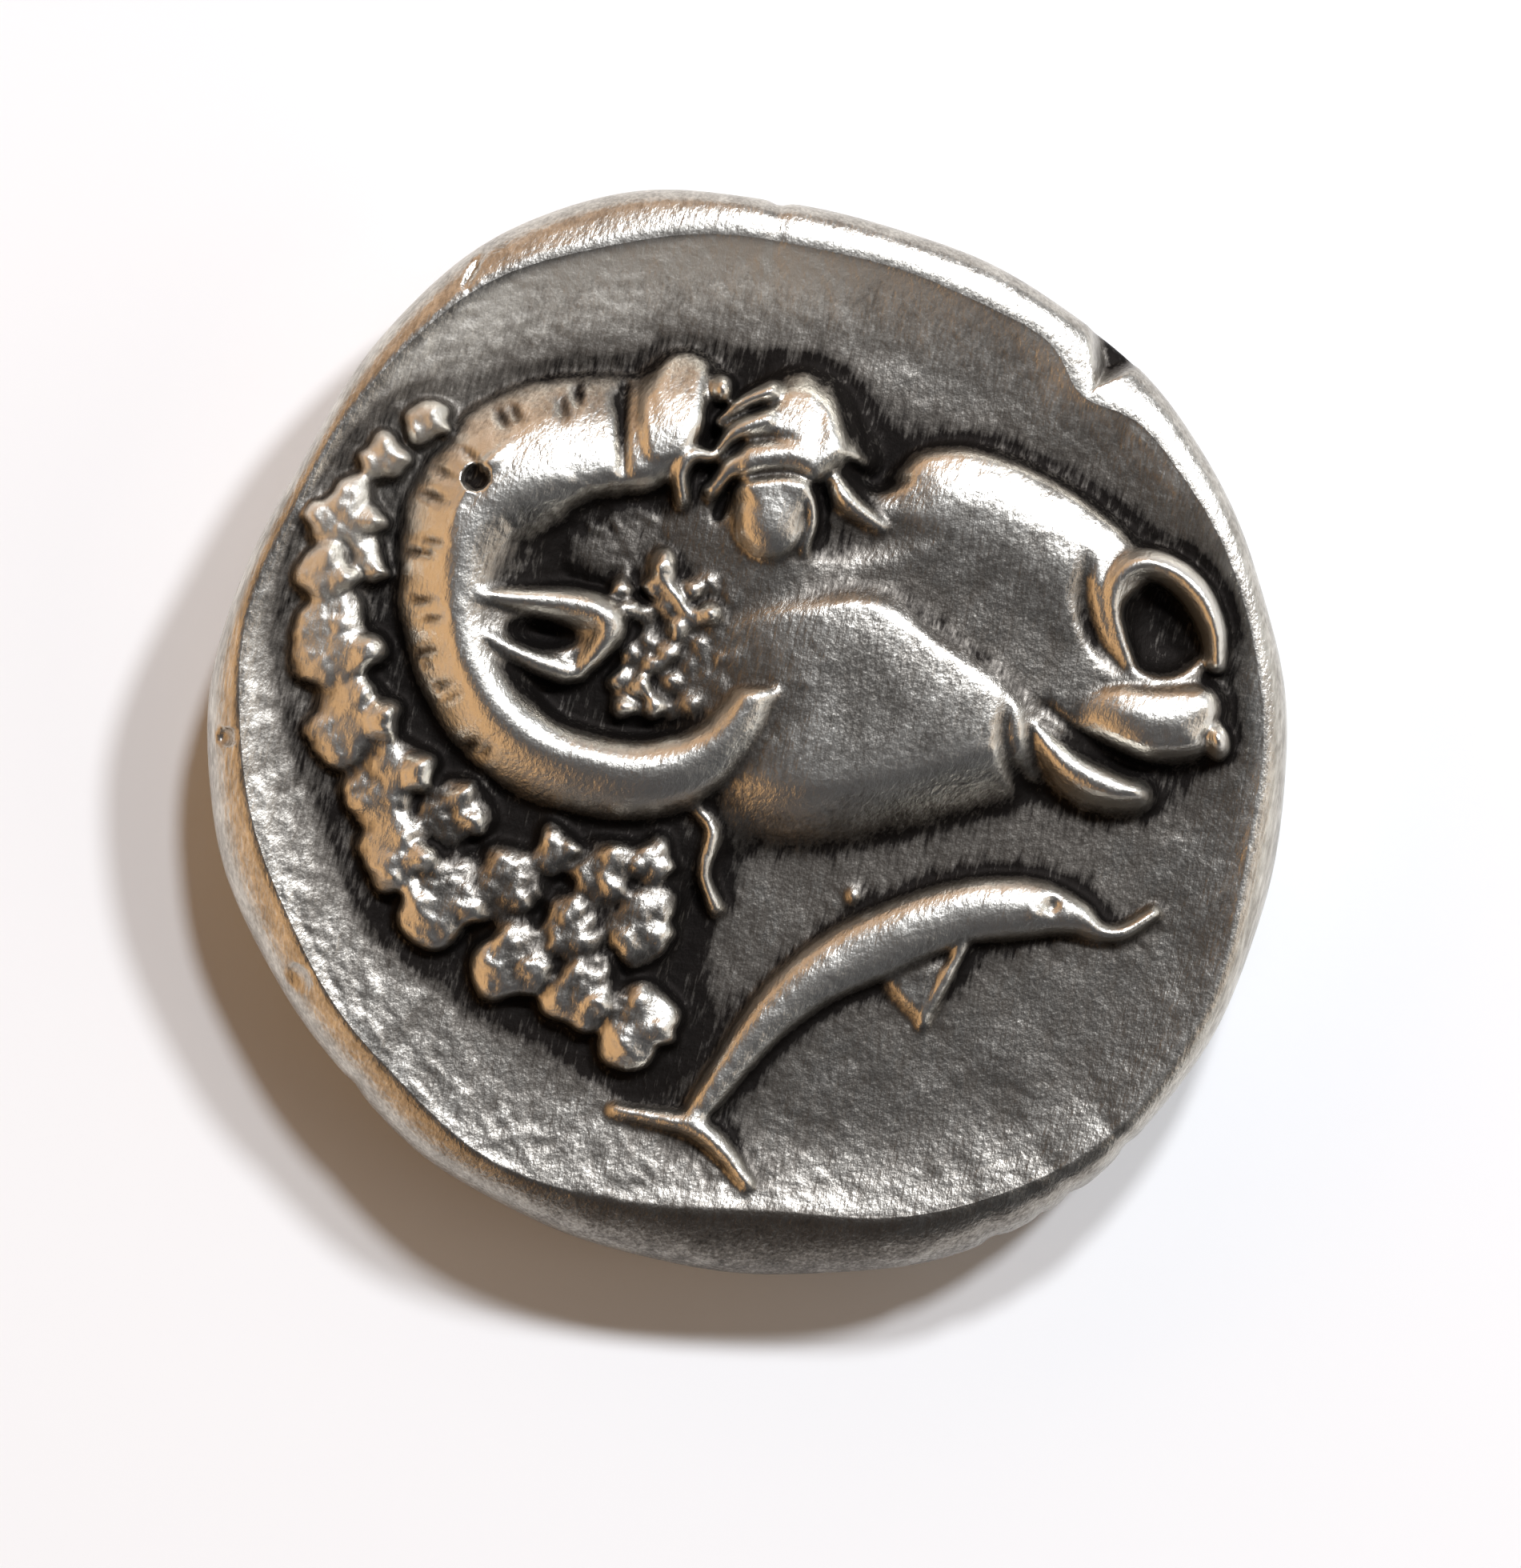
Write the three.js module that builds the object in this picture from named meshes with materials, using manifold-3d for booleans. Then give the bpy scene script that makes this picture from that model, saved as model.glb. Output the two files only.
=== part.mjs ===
import * as THREE from 'three';
import { mergeVertices } from 'three/addons/utils/BufferGeometryUtils.js';
import Module from 'manifold-3d';

// A struck silver stater that lies on its reverse, picture side up. Lengths are in
// millimetres and +Z is up. The origin is under the middle of the coin, on the surface
// that it lies on. The coin is made as the real one was: a cast blank is struck by an
// obverse die, which carries the ram's head and the dolphin, and by a square punch.

// Driving sizes
const meanDiameter = 21;
const fieldHeight = 3.2;
const lipRise = 0.75;
const reliefRise = 1.3;
const underRounding = 1.0;
const incuseSide = 10.6;
const incuseDepth = 0.75;
const incuseBar = 1.1;
const incuseDraft = 0.35;
const notchWidth = 0.85;
const notchReach = 1.15;
const notchDepth = 1.1;

// Directions, in degrees anticlockwise from +X
const incuseTurn = 22;
const notchDirection = 45;

// How finely the blank and the die are cut
const blankSides = 120;
const roundingSteps = 3;
const dieCells = 128;
const dieTolerance = 0.05;
const curveSteps = 5;

// The carving is drawn in hundredths of the die's radius, with X to the right, Y up and
// the middle of the face at 0, 0. Carved heights are shares of the relief's rise.
const carvedRadius = 99.4;
const unit = meanDiameter / 2 / carvedRadius;

// The uneven outline and the crest of the lip: a mean radius, and waves around the coin
// as count, size and the direction of one of their peaks.
const outline = {
  mean: carvedRadius,
  waves: [[1, 2.0, 340], [2, 1.8, 126], [3, 0.8, 83], [4, 1.35, 23], [5, 0.85, 37], [6, 0.7, 56]],
};
const crest = {
  mean: 92.6,
  waves: [[1, 2.4, 1], [2, 3.0, 151], [3, 0.7, 89], [4, 1.25, 40], [5, 1.1, 27], [6, 0.7, 2]],
};
const notchPull = 5;
const notchSpread = 5;

const degrees = Math.PI / 180;

function waveRadius(ring, angle) {
  let radius = ring.mean;
  for (const [count, size, peak] of ring.waves) {
    radius += size * Math.cos(count * (angle - peak * degrees));
  }
  return radius;
}

function crestRadius(angle) {
  const away = Math.abs(((angle / degrees - notchDirection + 540) % 360) - 180) / notchSpread;
  return waveRadius(crest, angle) - notchPull * Math.exp(-away * away);
}

function clamp01(value) {
  return Math.min(Math.max(value, 0), 1);
}

function smooth(value) {
  const t = clamp01(value);
  return t * t * (3 - 2 * t);
}

// The larger of two heights, with the corner between them filled over the given width.
function softMax(a, b, width) {
  const gap = Math.max(width - Math.abs(a - b), 0) / width;
  return Math.max(a, b) + gap * gap * width / 4;
}

// A rounded rise: 1 on the crest line, where away is 0, and 0 at its foot, where away is 1.
function rounded(away) {
  return Math.max(1 - away * away, 0) ** 0.85;
}

// The nearest place on a run of points: how far it is, how far along it lies in steps
// between the drawn points, and on which side of the run.
function nearest(run, x, y) {
  let best = { distance: Infinity, along: 0, side: 1 };
  for (let i = 0; i + 1 < run.length; i += 1) {
    const dx = run[i + 1].x - run[i].x;
    const dy = run[i + 1].y - run[i].y;
    const t = clamp01(((x - run[i].x) * dx + (y - run[i].y) * dy) / (dx * dx + dy * dy));
    const ox = x - run[i].x - t * dx;
    const oy = y - run[i].y - t * dy;
    const distance = Math.hypot(ox, oy);
    if (distance < best.distance) {
      best = { distance, along: (i + t) / curveSteps, side: Math.sign(dx * oy - dy * ox) };
    }
  }
  return best;
}

// A carved ridge along a smooth line. Each row is x, y, half width on the left, half
// width on the right and height.
function ridge(rows) {
  const curve = new THREE.SplineCurve(rows.map(([x, y]) => new THREE.Vector2(x, y)));
  const run = curve.getPoints((rows.length - 1) * curveSteps);
  return (x, y) => {
    const { distance, along, side } = nearest(run, x, y);
    const row = Math.min(Math.floor(along), rows.length - 2);
    const share = along - row;
    const between = (column) => rows[row][column] + share * (rows[row + 1][column] - rows[row][column]);
    return between(4) * rounded(Math.min(distance / between(side > 0 ? 2 : 3), 1));
  };
}

// A ridge that is as wide on both sides. Each row is x, y, half width and height.
function cord(rows) {
  return ridge(rows.map(([x, y, width, height]) => [x, y, width, width, height]));
}

// A raised area with a smooth closed outline and a rounded shoulder of the given width.
function plate(points, shoulder, height) {
  const corners = points.map(([x, y]) => new THREE.Vector3(x, y, 0));
  const curve = new THREE.CatmullRomCurve3(corners, true, 'catmullrom', 0.5);
  const run = curve.getPoints(points.length * curveSteps);
  return (x, y) => {
    let inside = false;
    for (let i = 0; i + 1 < run.length; i += 1) {
      const a = run[i];
      const b = run[i + 1];
      if ((a.y > y) !== (b.y > y) && x < a.x + ((b.x - a.x) * (y - a.y)) / (b.y - a.y)) {
        inside = !inside;
      }
    }
    return inside ? height * rounded(1 - clamp01(nearest(run, x, y).distance / shoulder)) : 0;
  };
}

// A rounded boss with a middle, two radii, a turn in degrees and a height.
function boss(cx, cy, long, short, turn, height) {
  const cos = Math.cos(turn * degrees);
  const sin = Math.sin(turn * degrees);
  return (x, y) => {
    const u = ((x - cx) * cos + (y - cy) * sin) / long;
    const v = ((y - cy) * cos - (x - cx) * sin) / short;
    return height * rounded(Math.min(Math.hypot(u, v), 1));
  };
}

// Ram's head, from the broad masses to the small forms

const face = plate([
  [-8, -14], [-9, 20], [-14, 48], [-4, 62], [8, 66], [17, 66], [21, 53], [25, 46], [31, 52.5], [41, 53.5],
  [53, 50], [62, 45], [71, 36], [78, 27], [79, 12], [70, -3], [57, -10], [40, -15], [22, -20], [6, -21],
], 11, 0.5);

const neck = plate([
  [-56, 56], [-72, 44], [-82, 29], [-82, 13], [-78, -2], [-71, -14], [-61, -30], [-49, -44],
  [-34, -54], [-18, -60], [-13, -52], [-10, -36], [-4, -26], [4, -18], [0, 0], [-20, 30], [-40, 50],
], 7, 0.34);

const cheek = plate([
  [-4, 24], [8, 27], [20, 28], [29, 28], [40, 19], [52, 12], [55, 0], [46, -9], [28, -15], [8, -18], [-4, -8],
], 9, 0.66);

const horn = ridge([
  [-21, 53, 16, 13, 0.8], [-34, 50, 16, 13, 0.95], [-47, 42, 12, 12, 1], [-54, 30, 9, 10, 1],
  [-55.5, 18, 8, 8.5, 1], [-50.5, 6, 7, 11, 0.97], [-41, 0.5, 6, 13, 0.93], [-27, -2, 5.5, 12, 0.9],
  [-12, -1, 5, 10, 0.88], [-2, 4, 4, 7.5, 0.86], [4, 9, 2.5, 3, 0.75],
]);

const forelock = [
  boss(-10, 60, 12, 8, 70, 0.78),
  boss(-13, 51, 9, 6, 20, 0.74),
  cord([[-5.5, 51, 2.5, 0.78], [-10, 51.5, 2.5, 0.82], [-11.5, 47, 2.3, 0.78], [-11, 42, 2, 0.6]]),
];

const brow = [
  boss(12, 58, 10, 9, 0, 0.98),
  cord([[-6.5, 50, 2, 0.6], [-2, 56.5, 3, 0.72], [6, 61, 3.4, 0.86], [15, 60, 3.6, 0.92]]),
  cord([[-6, 45, 2, 0.6], [-1.5, 50.5, 3, 0.74], [6, 54, 3.2, 0.86], [15, 53, 3.6, 0.88]]),
  cord([[-4.5, 41, 1.8, 0.58], [0, 46, 2.6, 0.74], [7, 48.5, 2.8, 0.82], [14, 47, 3, 0.78]]),
  cord([[17, 57, 3, 0.85], [20, 49, 3, 0.76], [26, 47, 2.5, 0.62], [31, 50, 3, 0.6]]),
];

const eye = [
  boss(7, 40, 6.3, 6.8, 0, 0.8),
  cord([[17, 47, 1.6, 0.6], [18.5, 43, 2, 0.72], [22, 41, 1.8, 0.64], [26, 38, 1.2, 0.5]]),
];

const noseBridge = cord([
  [27, 47, 5, 0.56], [35, 47, 6, 0.64], [45, 45, 7, 0.66], [57, 39, 7, 0.64], [68, 32, 5, 0.58],
]);

const nostrilRing = cord([
  [70, 13, 1.6, 0.55], [68, 20, 2, 0.64], [68.5, 27, 2.6, 0.7], [74, 31.5, 2.8, 0.76],
  [80.5, 28.5, 2.8, 0.74], [85, 22, 2.6, 0.7], [86.5, 14, 2.2, 0.6],
]);
const nostrilHollow = boss(76.5, 20, 8, 7, 90, 0.5);

const mouth = [
  boss(75, 3, 16, 8, -8, 0.78),
  boss(86, 2, 5, 7.5, 10, 0.72),
  cord([[52, 6, 2, 0.5], [53.5, -1, 3.6, 0.56], [58, -7.5, 4.4, 0.58], [65, -11, 4.6, 0.62], [73, -11.5, 3.6, 0.62]]),
];

const ear = [
  cord([[-48, 26, 1.6, 0.6], [-41, 24.5, 2, 0.68], [-33, 23.5, 2.6, 0.74], [-24, 21.5, 3, 0.74], [-25.5, 17, 2.6, 0.7],
    [-29, 12, 1.6, 0.55]]),
  cord([[-47, 18, 1.4, 0.6], [-40, 14, 2, 0.6], [-32, 11.5, 1.8, 0.55]]),
];

const curls = [
  boss(-14.5, 29, 3, 4, 0, 0.66),
  cord([[-13, 27, 1.6, 0.55], [-10, 22, 1.6, 0.56], [-5.5, 21.5, 2.4, 0.6]]),
];

const throat = cord([[-9, -13, 2, 0.46], [-5.5, -17, 2.4, 0.5], [-7, -24, 2.2, 0.46], [-5, -31, 2.2, 0.36]]);

// Fleece: rows of locks that run round the middle of the horn, as radius, first and last
// direction, and how many locks.
const fleeceMiddle = [-28, 19];
const lockRadius = 7.4;
const lockHeight = 0.62;
const lockRows = [[49.5, 141, 215, 6], [42.5, 196, 280, 6], [53, 226, 281, 5], [63.5, 252, 275, 3], [74, 266, 277, 2]];

const fleece = lockRows.flatMap(([radius, first, last, count]) => {
  const locks = [];
  for (let i = 0; i < count; i += 1) {
    const direction = (first + (last - first) * i / (count - 1)) * degrees;
    const x = fleeceMiddle[0] + radius * Math.cos(direction);
    const y = fleeceMiddle[1] + radius * Math.sin(direction);
    locks.push(boss(x, y, lockRadius, lockRadius * 0.85, direction / degrees, lockHeight));
  }
  return locks;
});

// Dolphin

const dolphin = [
  cord([
    [-8.5, -69.5, 2.6, 0.3], [-2.5, -61, 3.4, 0.38], [5.5, -50.5, 4.6, 0.42], [14.5, -43.5, 5.8, 0.44],
    [24, -38.5, 6.6, 0.46], [39, -33, 6.3, 0.48], [52, -31.5, 5.8, 0.48], [61, -33.5, 3.4, 0.42],
    [67.5, -36, 1.7, 0.32], [75, -33, 1.3, 0.28],
  ]),
  cord([[-23.5, -69, 1.2, 0.16], [-14, -70.5, 2, 0.28], [-6.5, -71.5, 2.4, 0.34], [-1.5, -77.5, 2, 0.3], [1, -82, 1.2, 0.16]]),
  cord([[40, -39, 1.6, 0.3], [36, -46, 1.5, 0.26], [33, -52, 1.2, 0.2]]),
  plate([[27, -45], [39, -40], [33, -52]], 3, 0.2),
];

const raised = [
  [neck, 0.12], [face, 0.12], [cheek, 0.16], ...fleece.map((lock) => [lock, 0.06]), [throat, 0.08],
  [noseBridge, 0.1], ...eye.map((form) => [form, 0.05]), [horn, 0.05], ...forelock.map((form) => [form, 0.05]),
  ...brow.map((form) => [form, 0.05]), ...ear.map((form) => [form, 0.05]), ...curls.map((form) => [form, 0.05]),
  ...mouth.map((form) => [form, 0.05]), ...dolphin.map((form) => [form, 0.05]),
];

function carving(x, y) {
  let height = 0;
  for (const [form, fill] of raised) {
    const rise = form(x, y);
    if (rise > 0) {
      height = height > 0 ? softMax(height, rise, fill) : rise;
    }
  }
  const hollowed = height - nostrilHollow(x, y);
  return Math.max(softMax(hollowed, nostrilRing(x, y), 0.04), 0);
}

// The struck face over the table: a dished field that climbs to the lip, and the carving.
const dishStart = 0.6;
const lipFoot = 0.9;
const dishShare = 0.35;
const outerSlope = 4;
const dieOverlap = 0.012;

function struckHeight(x, y) {
  const reach = Math.hypot(x, y) / crestRadius(Math.atan2(y, x)) - dieOverlap;
  const dish = dishShare * smooth((reach - dishStart) / (1 - dishStart));
  const lip = (1 - dishShare) * clamp01((reach - lipFoot) / (1 - lipFoot)) ** 2;
  const beyond = outerSlope * Math.max(reach - 1, 0);
  return fieldHeight + lipRise * (dish + lip + beyond) + reliefRise * carving(x, y);
}

// Solids

const wasm = await Module();
wasm.setup();

function toSolid(geometry) {
  const bare = geometry.clone();
  bare.deleteAttribute('normal');
  bare.deleteAttribute('uv');
  const merged = mergeVertices(bare, 1e-5);
  const mesh = new wasm.Mesh({
    numProp: 3,
    vertProperties: new Float32Array(merged.attributes.position.array),
    triVerts: new Uint32Array(merged.index.array),
  });
  return new wasm.Manifold(mesh);
}

function toGeometry(solid) {
  const mesh = solid.getMesh();
  const geometry = new THREE.BufferGeometry();
  geometry.setAttribute('position', new THREE.BufferAttribute(mesh.vertProperties, 3));
  geometry.setIndex(new THREE.BufferAttribute(mesh.triVerts, 1));
  return geometry;
}

// The blank: a thick bun with a rounded edge. Its profile runs from the middle of the
// flat underside, round the edge and over the lip to a domed top that the die cuts off.
const blankTop = fieldHeight + reliefRise + 1;
const lipTop = fieldHeight + lipRise;
const widestHeight = lipTop * 0.45;

function blank() {
  const stations = [{ part: 'under', share: 0 }];
  for (let i = 0; i <= roundingSteps; i += 1) {
    stations.push({ part: 'lower', share: i / roundingSteps });
  }
  for (let i = 1; i <= roundingSteps; i += 1) {
    stations.push({ part: 'upper', share: i / roundingSteps });
  }
  stations.push({ part: 'top', share: 0 });
  const profile = stations.map((station, i) => {
    const onAxis = station.part === 'under' || station.part === 'top';
    return new THREE.Vector2(onAxis ? 0 : 1, i);
  });
  const geometry = new THREE.LatheGeometry(profile, blankSides);
  geometry.rotateX(Math.PI / 2);
  const position = geometry.attributes.position;
  for (let i = 0; i < position.count; i += 1) {
    const x = position.getX(i);
    const y = position.getY(i);
    const { part, share } = stations[Math.round(position.getZ(i))];
    const angle = Math.atan2(y, x);
    const edge = waveRadius(outline, angle) * unit;
    const lip = waveRadius(crest, angle) * unit;
    const turn = share * Math.PI / 2;
    let radius = 0;
    let height = part === 'top' ? blankTop : 0;
    if (part === 'lower') {
      radius = edge - underRounding * (1 - Math.sin(turn));
      height = widestHeight * (1 - Math.cos(turn));
    }
    if (part === 'upper') {
      radius = lip + (edge - lip) * Math.cos(turn) ** 0.8;
      height = widestHeight + (lipTop - widestHeight) * Math.sin(turn) ** 0.8;
    }
    position.setXYZ(i, radius * Math.cos(angle), radius * Math.sin(angle), height);
  }
  return toSolid(geometry);
}

// The die's face is a net of right-angled triangles that is fine only where the carving
// needs it: a triangle is halved while the height in the middle of its long side is off.
function dieNet(half) {
  const line = dieCells + 1;
  const heights = new Float64Array(line * line);
  const place = (i) => (i / dieCells * 2 - 1) * half;
  for (let j = 0; j < line; j += 1) {
    for (let i = 0; i < line; i += 1) {
      heights[j * line + i] = struckHeight(place(i) / unit, place(j) / unit);
    }
  }
  const at = ([i, j]) => j * line + i;
  const middle = ([a, b]) => [(a[0] + b[0]) / 2, (a[1] + b[1]) / 2];
  const halves = (triangle) => {
    const [a, b, c] = triangle;
    const m = middle(triangle);
    return [[c, a, m], [b, c, m]];
  };
  const first = [[[0, 0], [dieCells, dieCells], [dieCells, 0]], [[dieCells, dieCells], [0, 0], [0, dieCells]]];
  const levels = [first];
  const levelCount = 2 * Math.log2(dieCells);
  for (let level = 1; level < levelCount; level += 1) {
    levels.push(levels[level - 1].flatMap(halves));
  }
  const faults = new Float64Array(line * line);
  for (let level = levelCount - 1; level >= 0; level -= 1) {
    for (const triangle of levels[level]) {
      const [a, b] = triangle;
      const m = at(middle(triangle));
      let fault = Math.max(faults[m], Math.abs((heights[at(a)] + heights[at(b)]) / 2 - heights[m]));
      if (level + 1 < levelCount) {
        for (const child of halves(triangle)) {
          fault = Math.max(fault, faults[at(middle(child))]);
        }
      }
      faults[m] = fault;
    }
  }
  const kept = [];
  const settle = (triangle, level) => {
    if (level < levelCount && faults[at(middle(triangle))] > dieTolerance) {
      halves(triangle).forEach((child) => settle(child, level + 1));
    } else {
      kept.push(triangle);
    }
  };
  first.forEach((triangle) => settle(triangle, 0));
  return kept.map((triangle) => triangle.map((corner) => {
    return [place(corner[0]), place(corner[1]), heights[at(corner)]];
  }));
}

// The die: its net as the underside, walls on the net's border and a flat top.
function obverseDie() {
  const half = 1.12 * carvedRadius * unit;
  const top = blankTop + 4;
  const corners = [];
  const onBorder = (p) => Math.max(Math.abs(p[0]), Math.abs(p[1])) > half - 1e-6;
  const sameSide = (p, q) => [0, 1].some((k) => Math.abs(p[k]) > half - 1e-6 && Math.abs(p[k] - q[k]) < 1e-6);
  const lifted = (p) => [p[0], p[1], top];
  for (const [a, b, c] of dieNet(half)) {
    corners.push(a, b, c);
    for (const [p, q] of [[a, b], [b, c], [c, a]]) {
      if (onBorder(p) && onBorder(q) && sameSide(p, q)) {
        corners.push(q, p, lifted(p), q, lifted(p), lifted(q), lifted(q), lifted(p), [0, 0, top]);
      }
    }
  }
  const geometry = new THREE.BufferGeometry();
  geometry.setAttribute('position', new THREE.Float32BufferAttribute(corners.flat(), 3));
  return toSolid(geometry);
}

// The reverse punch leaves a square that a cross parts into four sunk quarters.
function reversePunch() {
  const quarter = (incuseSide - incuseBar) / 2;
  const overrun = 1;
  const slope = incuseDraft / incuseDepth;
  const mouth = quarter / 2 + slope * overrun;
  const floor = quarter / 2 - incuseDraft;
  let punch = null;
  for (const [sx, sy] of [[1, 1], [-1, 1], [-1, -1], [1, -1]]) {
    const geometry = new THREE.CylinderGeometry(
      floor * Math.SQRT2, mouth * Math.SQRT2, incuseDepth + overrun, 4, 1,
    );
    geometry.rotateY(Math.PI / 4);
    geometry.rotateX(Math.PI / 2);
    const offset = (quarter + incuseBar) / 2;
    geometry.translate(sx * offset, sy * offset, (incuseDepth - overrun) / 2);
    geometry.rotateZ(incuseTurn * degrees);
    const solid = toSolid(geometry);
    punch = punch ? punch.add(solid) : solid;
  }
  return punch;
}

// A V-shaped bite out of the rim, pointing at the middle of the coin.
function notch() {
  const edge = waveRadius(outline, notchDirection * degrees) * unit;
  const mouthReach = 1;
  const spread = notchWidth / 2 * (1 + mouthReach / notchReach);
  const shape = new THREE.Shape([
    new THREE.Vector2(edge - notchReach, 0),
    new THREE.Vector2(edge + mouthReach, -spread),
    new THREE.Vector2(edge + mouthReach, spread),
  ]);
  const geometry = new THREE.ExtrudeGeometry(shape, { depth: blankTop, bevelEnabled: false });
  geometry.translate(0, 0, lipTop - notchDepth);
  geometry.rotateZ(notchDirection * degrees);
  return toSolid(geometry);
}

const struck = blank().subtract(obverseDie()).subtract(reversePunch()).subtract(notch());
const coinGeometry = toGeometry(struck);
coinGeometry.computeBoundingBox();
const middle = coinGeometry.boundingBox.getCenter(new THREE.Vector3());
coinGeometry.translate(-middle.x, -middle.y, 0);

const silver = new THREE.MeshStandardMaterial({ color: 0xa8a49c, roughness: 0.35, metalness: 1 });
const coin = new THREE.Mesh(coinGeometry, silver);
coin.name = 'coin';

const group = new THREE.Group();
group.add(coin);

export default group;
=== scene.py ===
import math

import bpy
import numpy as np
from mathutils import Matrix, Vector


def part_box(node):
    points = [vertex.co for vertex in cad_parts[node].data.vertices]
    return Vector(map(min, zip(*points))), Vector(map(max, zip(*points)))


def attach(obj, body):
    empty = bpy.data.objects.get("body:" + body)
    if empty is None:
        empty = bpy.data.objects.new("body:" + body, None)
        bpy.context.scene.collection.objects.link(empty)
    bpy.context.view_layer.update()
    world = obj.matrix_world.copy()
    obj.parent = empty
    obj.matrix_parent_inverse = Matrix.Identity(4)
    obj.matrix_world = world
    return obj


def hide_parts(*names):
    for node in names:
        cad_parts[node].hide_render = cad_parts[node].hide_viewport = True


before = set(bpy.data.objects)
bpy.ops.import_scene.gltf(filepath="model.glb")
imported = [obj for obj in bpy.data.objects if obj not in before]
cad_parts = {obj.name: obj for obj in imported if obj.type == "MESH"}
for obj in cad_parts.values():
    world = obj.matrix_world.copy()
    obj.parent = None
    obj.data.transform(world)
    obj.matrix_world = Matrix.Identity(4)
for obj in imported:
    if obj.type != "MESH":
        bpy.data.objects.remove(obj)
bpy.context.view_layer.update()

# An ancient silver stater, struck by hand: a ram's head over a leaping dolphin on the
# face, and a quartered square punched into the back. Blender works in metres, and the
# carving is drawn in hundredths of the die's radius, with 0, 0 in the middle of the face.
MM = 0.001
MEAN_DIAMETER = 21 * MM
CARVED_RADIUS = 99.4
UNIT = MEAN_DIAMETER / 2 / CARVED_RADIUS

FIELD_HEIGHT = 3.2 * MM
LIP_RISE = 0.75 * MM
RELIEF_RISE = 1.3 * MM
LIP_TOP = FIELD_HEIGHT + LIP_RISE
WIDEST_SHARE = 0.45
WIDEST_HEIGHT = WIDEST_SHARE * LIP_TOP
UNDER_ROUNDING = 1.0 * MM

INCUSE_SIDE = 10.6 * MM
INCUSE_DEPTH = 0.75 * MM
INCUSE_BAR = 1.1 * MM
INCUSE_DRAFT = 0.35 * MM
INCUSE_TURN = math.radians(22)

NOTCH_DIRECTION = 45
NOTCH_DEPTH = 1.1 * MM

# Mean radius of a ring round the coin, and its waves: count, size and peak in degrees.
OUTLINE = (CARVED_RADIUS, [
    (1, 2.0, 340), (2, 1.8, 126), (3, 0.8, 83), (4, 1.35, 23), (5, 0.85, 37), (6, 0.7, 56),
])
CREST = (92.6, [
    (1, 2.4, 1), (2, 3.0, 151), (3, 0.7, 89), (4, 1.25, 40), (5, 1.1, 27), (6, 0.7, 2),
])


# Carving tools

def ring_radius(ring, angle):
    """Radius of an uneven ring in each direction."""
    mean, waves = ring
    return mean + sum(
        size * np.cos(count * (angle - math.radians(peak))) for count, size, peak in waves)


def from_direction(angle, degrees):
    """How many degrees each angle is away from a direction."""
    return np.abs((np.degrees(angle) - degrees + 540) % 360 - 180)


def smooth(share):
    """A soft step from 0 to 1."""
    t = np.clip(share, 0, 1)
    return t * t * (3 - 2 * t)


def risen(x, start, run, share):
    """How much of its height a form has where it grows out of what lies on its left: a
    share of it at start, and all of it a run further right."""
    return share + (1 - share) * smooth((x - start) / run)


def rounded(away, fullness=0.7):
    """A dome: 1 in the middle, where away is 0, and 0 at its foot, where away is 1."""
    return np.maximum(1 - away * away, 0) ** fullness


def joined(a, b, fill):
    """The higher of two carved heights, with the corner between them filled a little."""
    fill = np.minimum(fill, 2 * np.minimum(a, b)) + 1e-6
    gap = np.maximum(fill - np.abs(a - b), 0) / fill
    return np.maximum(a, b) + gap * gap * fill / 4


def curve_through(rows, closed=False, steps=6):
    """Points of a smooth line through the rows, which carries every column of them along."""
    rows = np.array(rows, float)
    count = len(rows)
    points = []
    for i in range(count if closed else count - 1):
        if closed:
            a, b, c, d = (rows[(i + k) % count] for k in (-1, 0, 1, 2))
        else:
            b, c = rows[i], rows[i + 1]
            a = rows[i - 1] if i > 0 else 2 * b - c
            d = rows[i + 2] if i + 2 < count else 2 * c - b
        for t in np.arange(steps) / steps:
            points.append(0.5 * (2 * b + (c - a) * t + (2 * a - 5 * b + 4 * c - d) * t ** 2
                                 + (3 * b - a - 3 * c + d) * t ** 3))
    points.append(rows[0] if closed else rows[-1])
    return np.array(points)


def nearest(run, x, y):
    """Distance to a run of points, how far along it that is, in points, and on which side:
    1 on the left and -1 on the right."""
    distance = np.full(x.shape, np.inf)
    along = np.zeros(x.shape)
    side = np.ones(x.shape)
    for i in range(len(run) - 1):
        dx, dy = run[i + 1][:2] - run[i][:2]
        reached = (x - run[i][0]) * dx + (y - run[i][1]) * dy
        t = np.clip(reached / (dx * dx + dy * dy + 1e-12), 0, 1)
        ox = x - run[i][0] - t * dx
        oy = y - run[i][1] - t * dy
        here = np.hypot(ox, oy)
        closer = here < distance
        distance[closer] = here[closer]
        along[closer] = (i + t)[closer]
        side[closer] = np.sign(dx * oy - dy * ox)[closer]
    return distance, along, side


def near_rows(run, margin, x, y):
    """Which places lie in the box around a run of points, widened by a margin."""
    low = run[:, :2].min(0) - margin
    high = run[:, :2].max(0) + margin
    return (x > low[0]) & (x < high[0]) & (y > low[1]) & (y < high[1])


def ridge(rows, fullness=0.6, base=0):
    """A carved ridge on ground of height base. Each row is x, y, left half width, right
    half width and height."""
    run = curve_through(rows)

    def rise(x, y):
        height = np.zeros(x.shape)
        near = near_rows(run, run[:, 2:4].max(), x, y)
        distance, along, side = nearest(run, x[near], y[near])
        left, right, top = (np.interp(along, np.arange(len(run)), run[:, k]) for k in (2, 3, 4))
        away = distance / np.where(side > 0, left, right)
        shape = base + (top - base) * rounded(np.minimum(away, 1), fullness)
        height[near] = np.where(away < 1, shape, 0)
        return height

    return rise


def cord(rows, fullness=0.6, base=0):
    """A ridge with equal sides. Each row is x, y, half width and height."""
    return ridge([(x, y, width, width, height) for x, y, width, height in rows], fullness, base)


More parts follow.
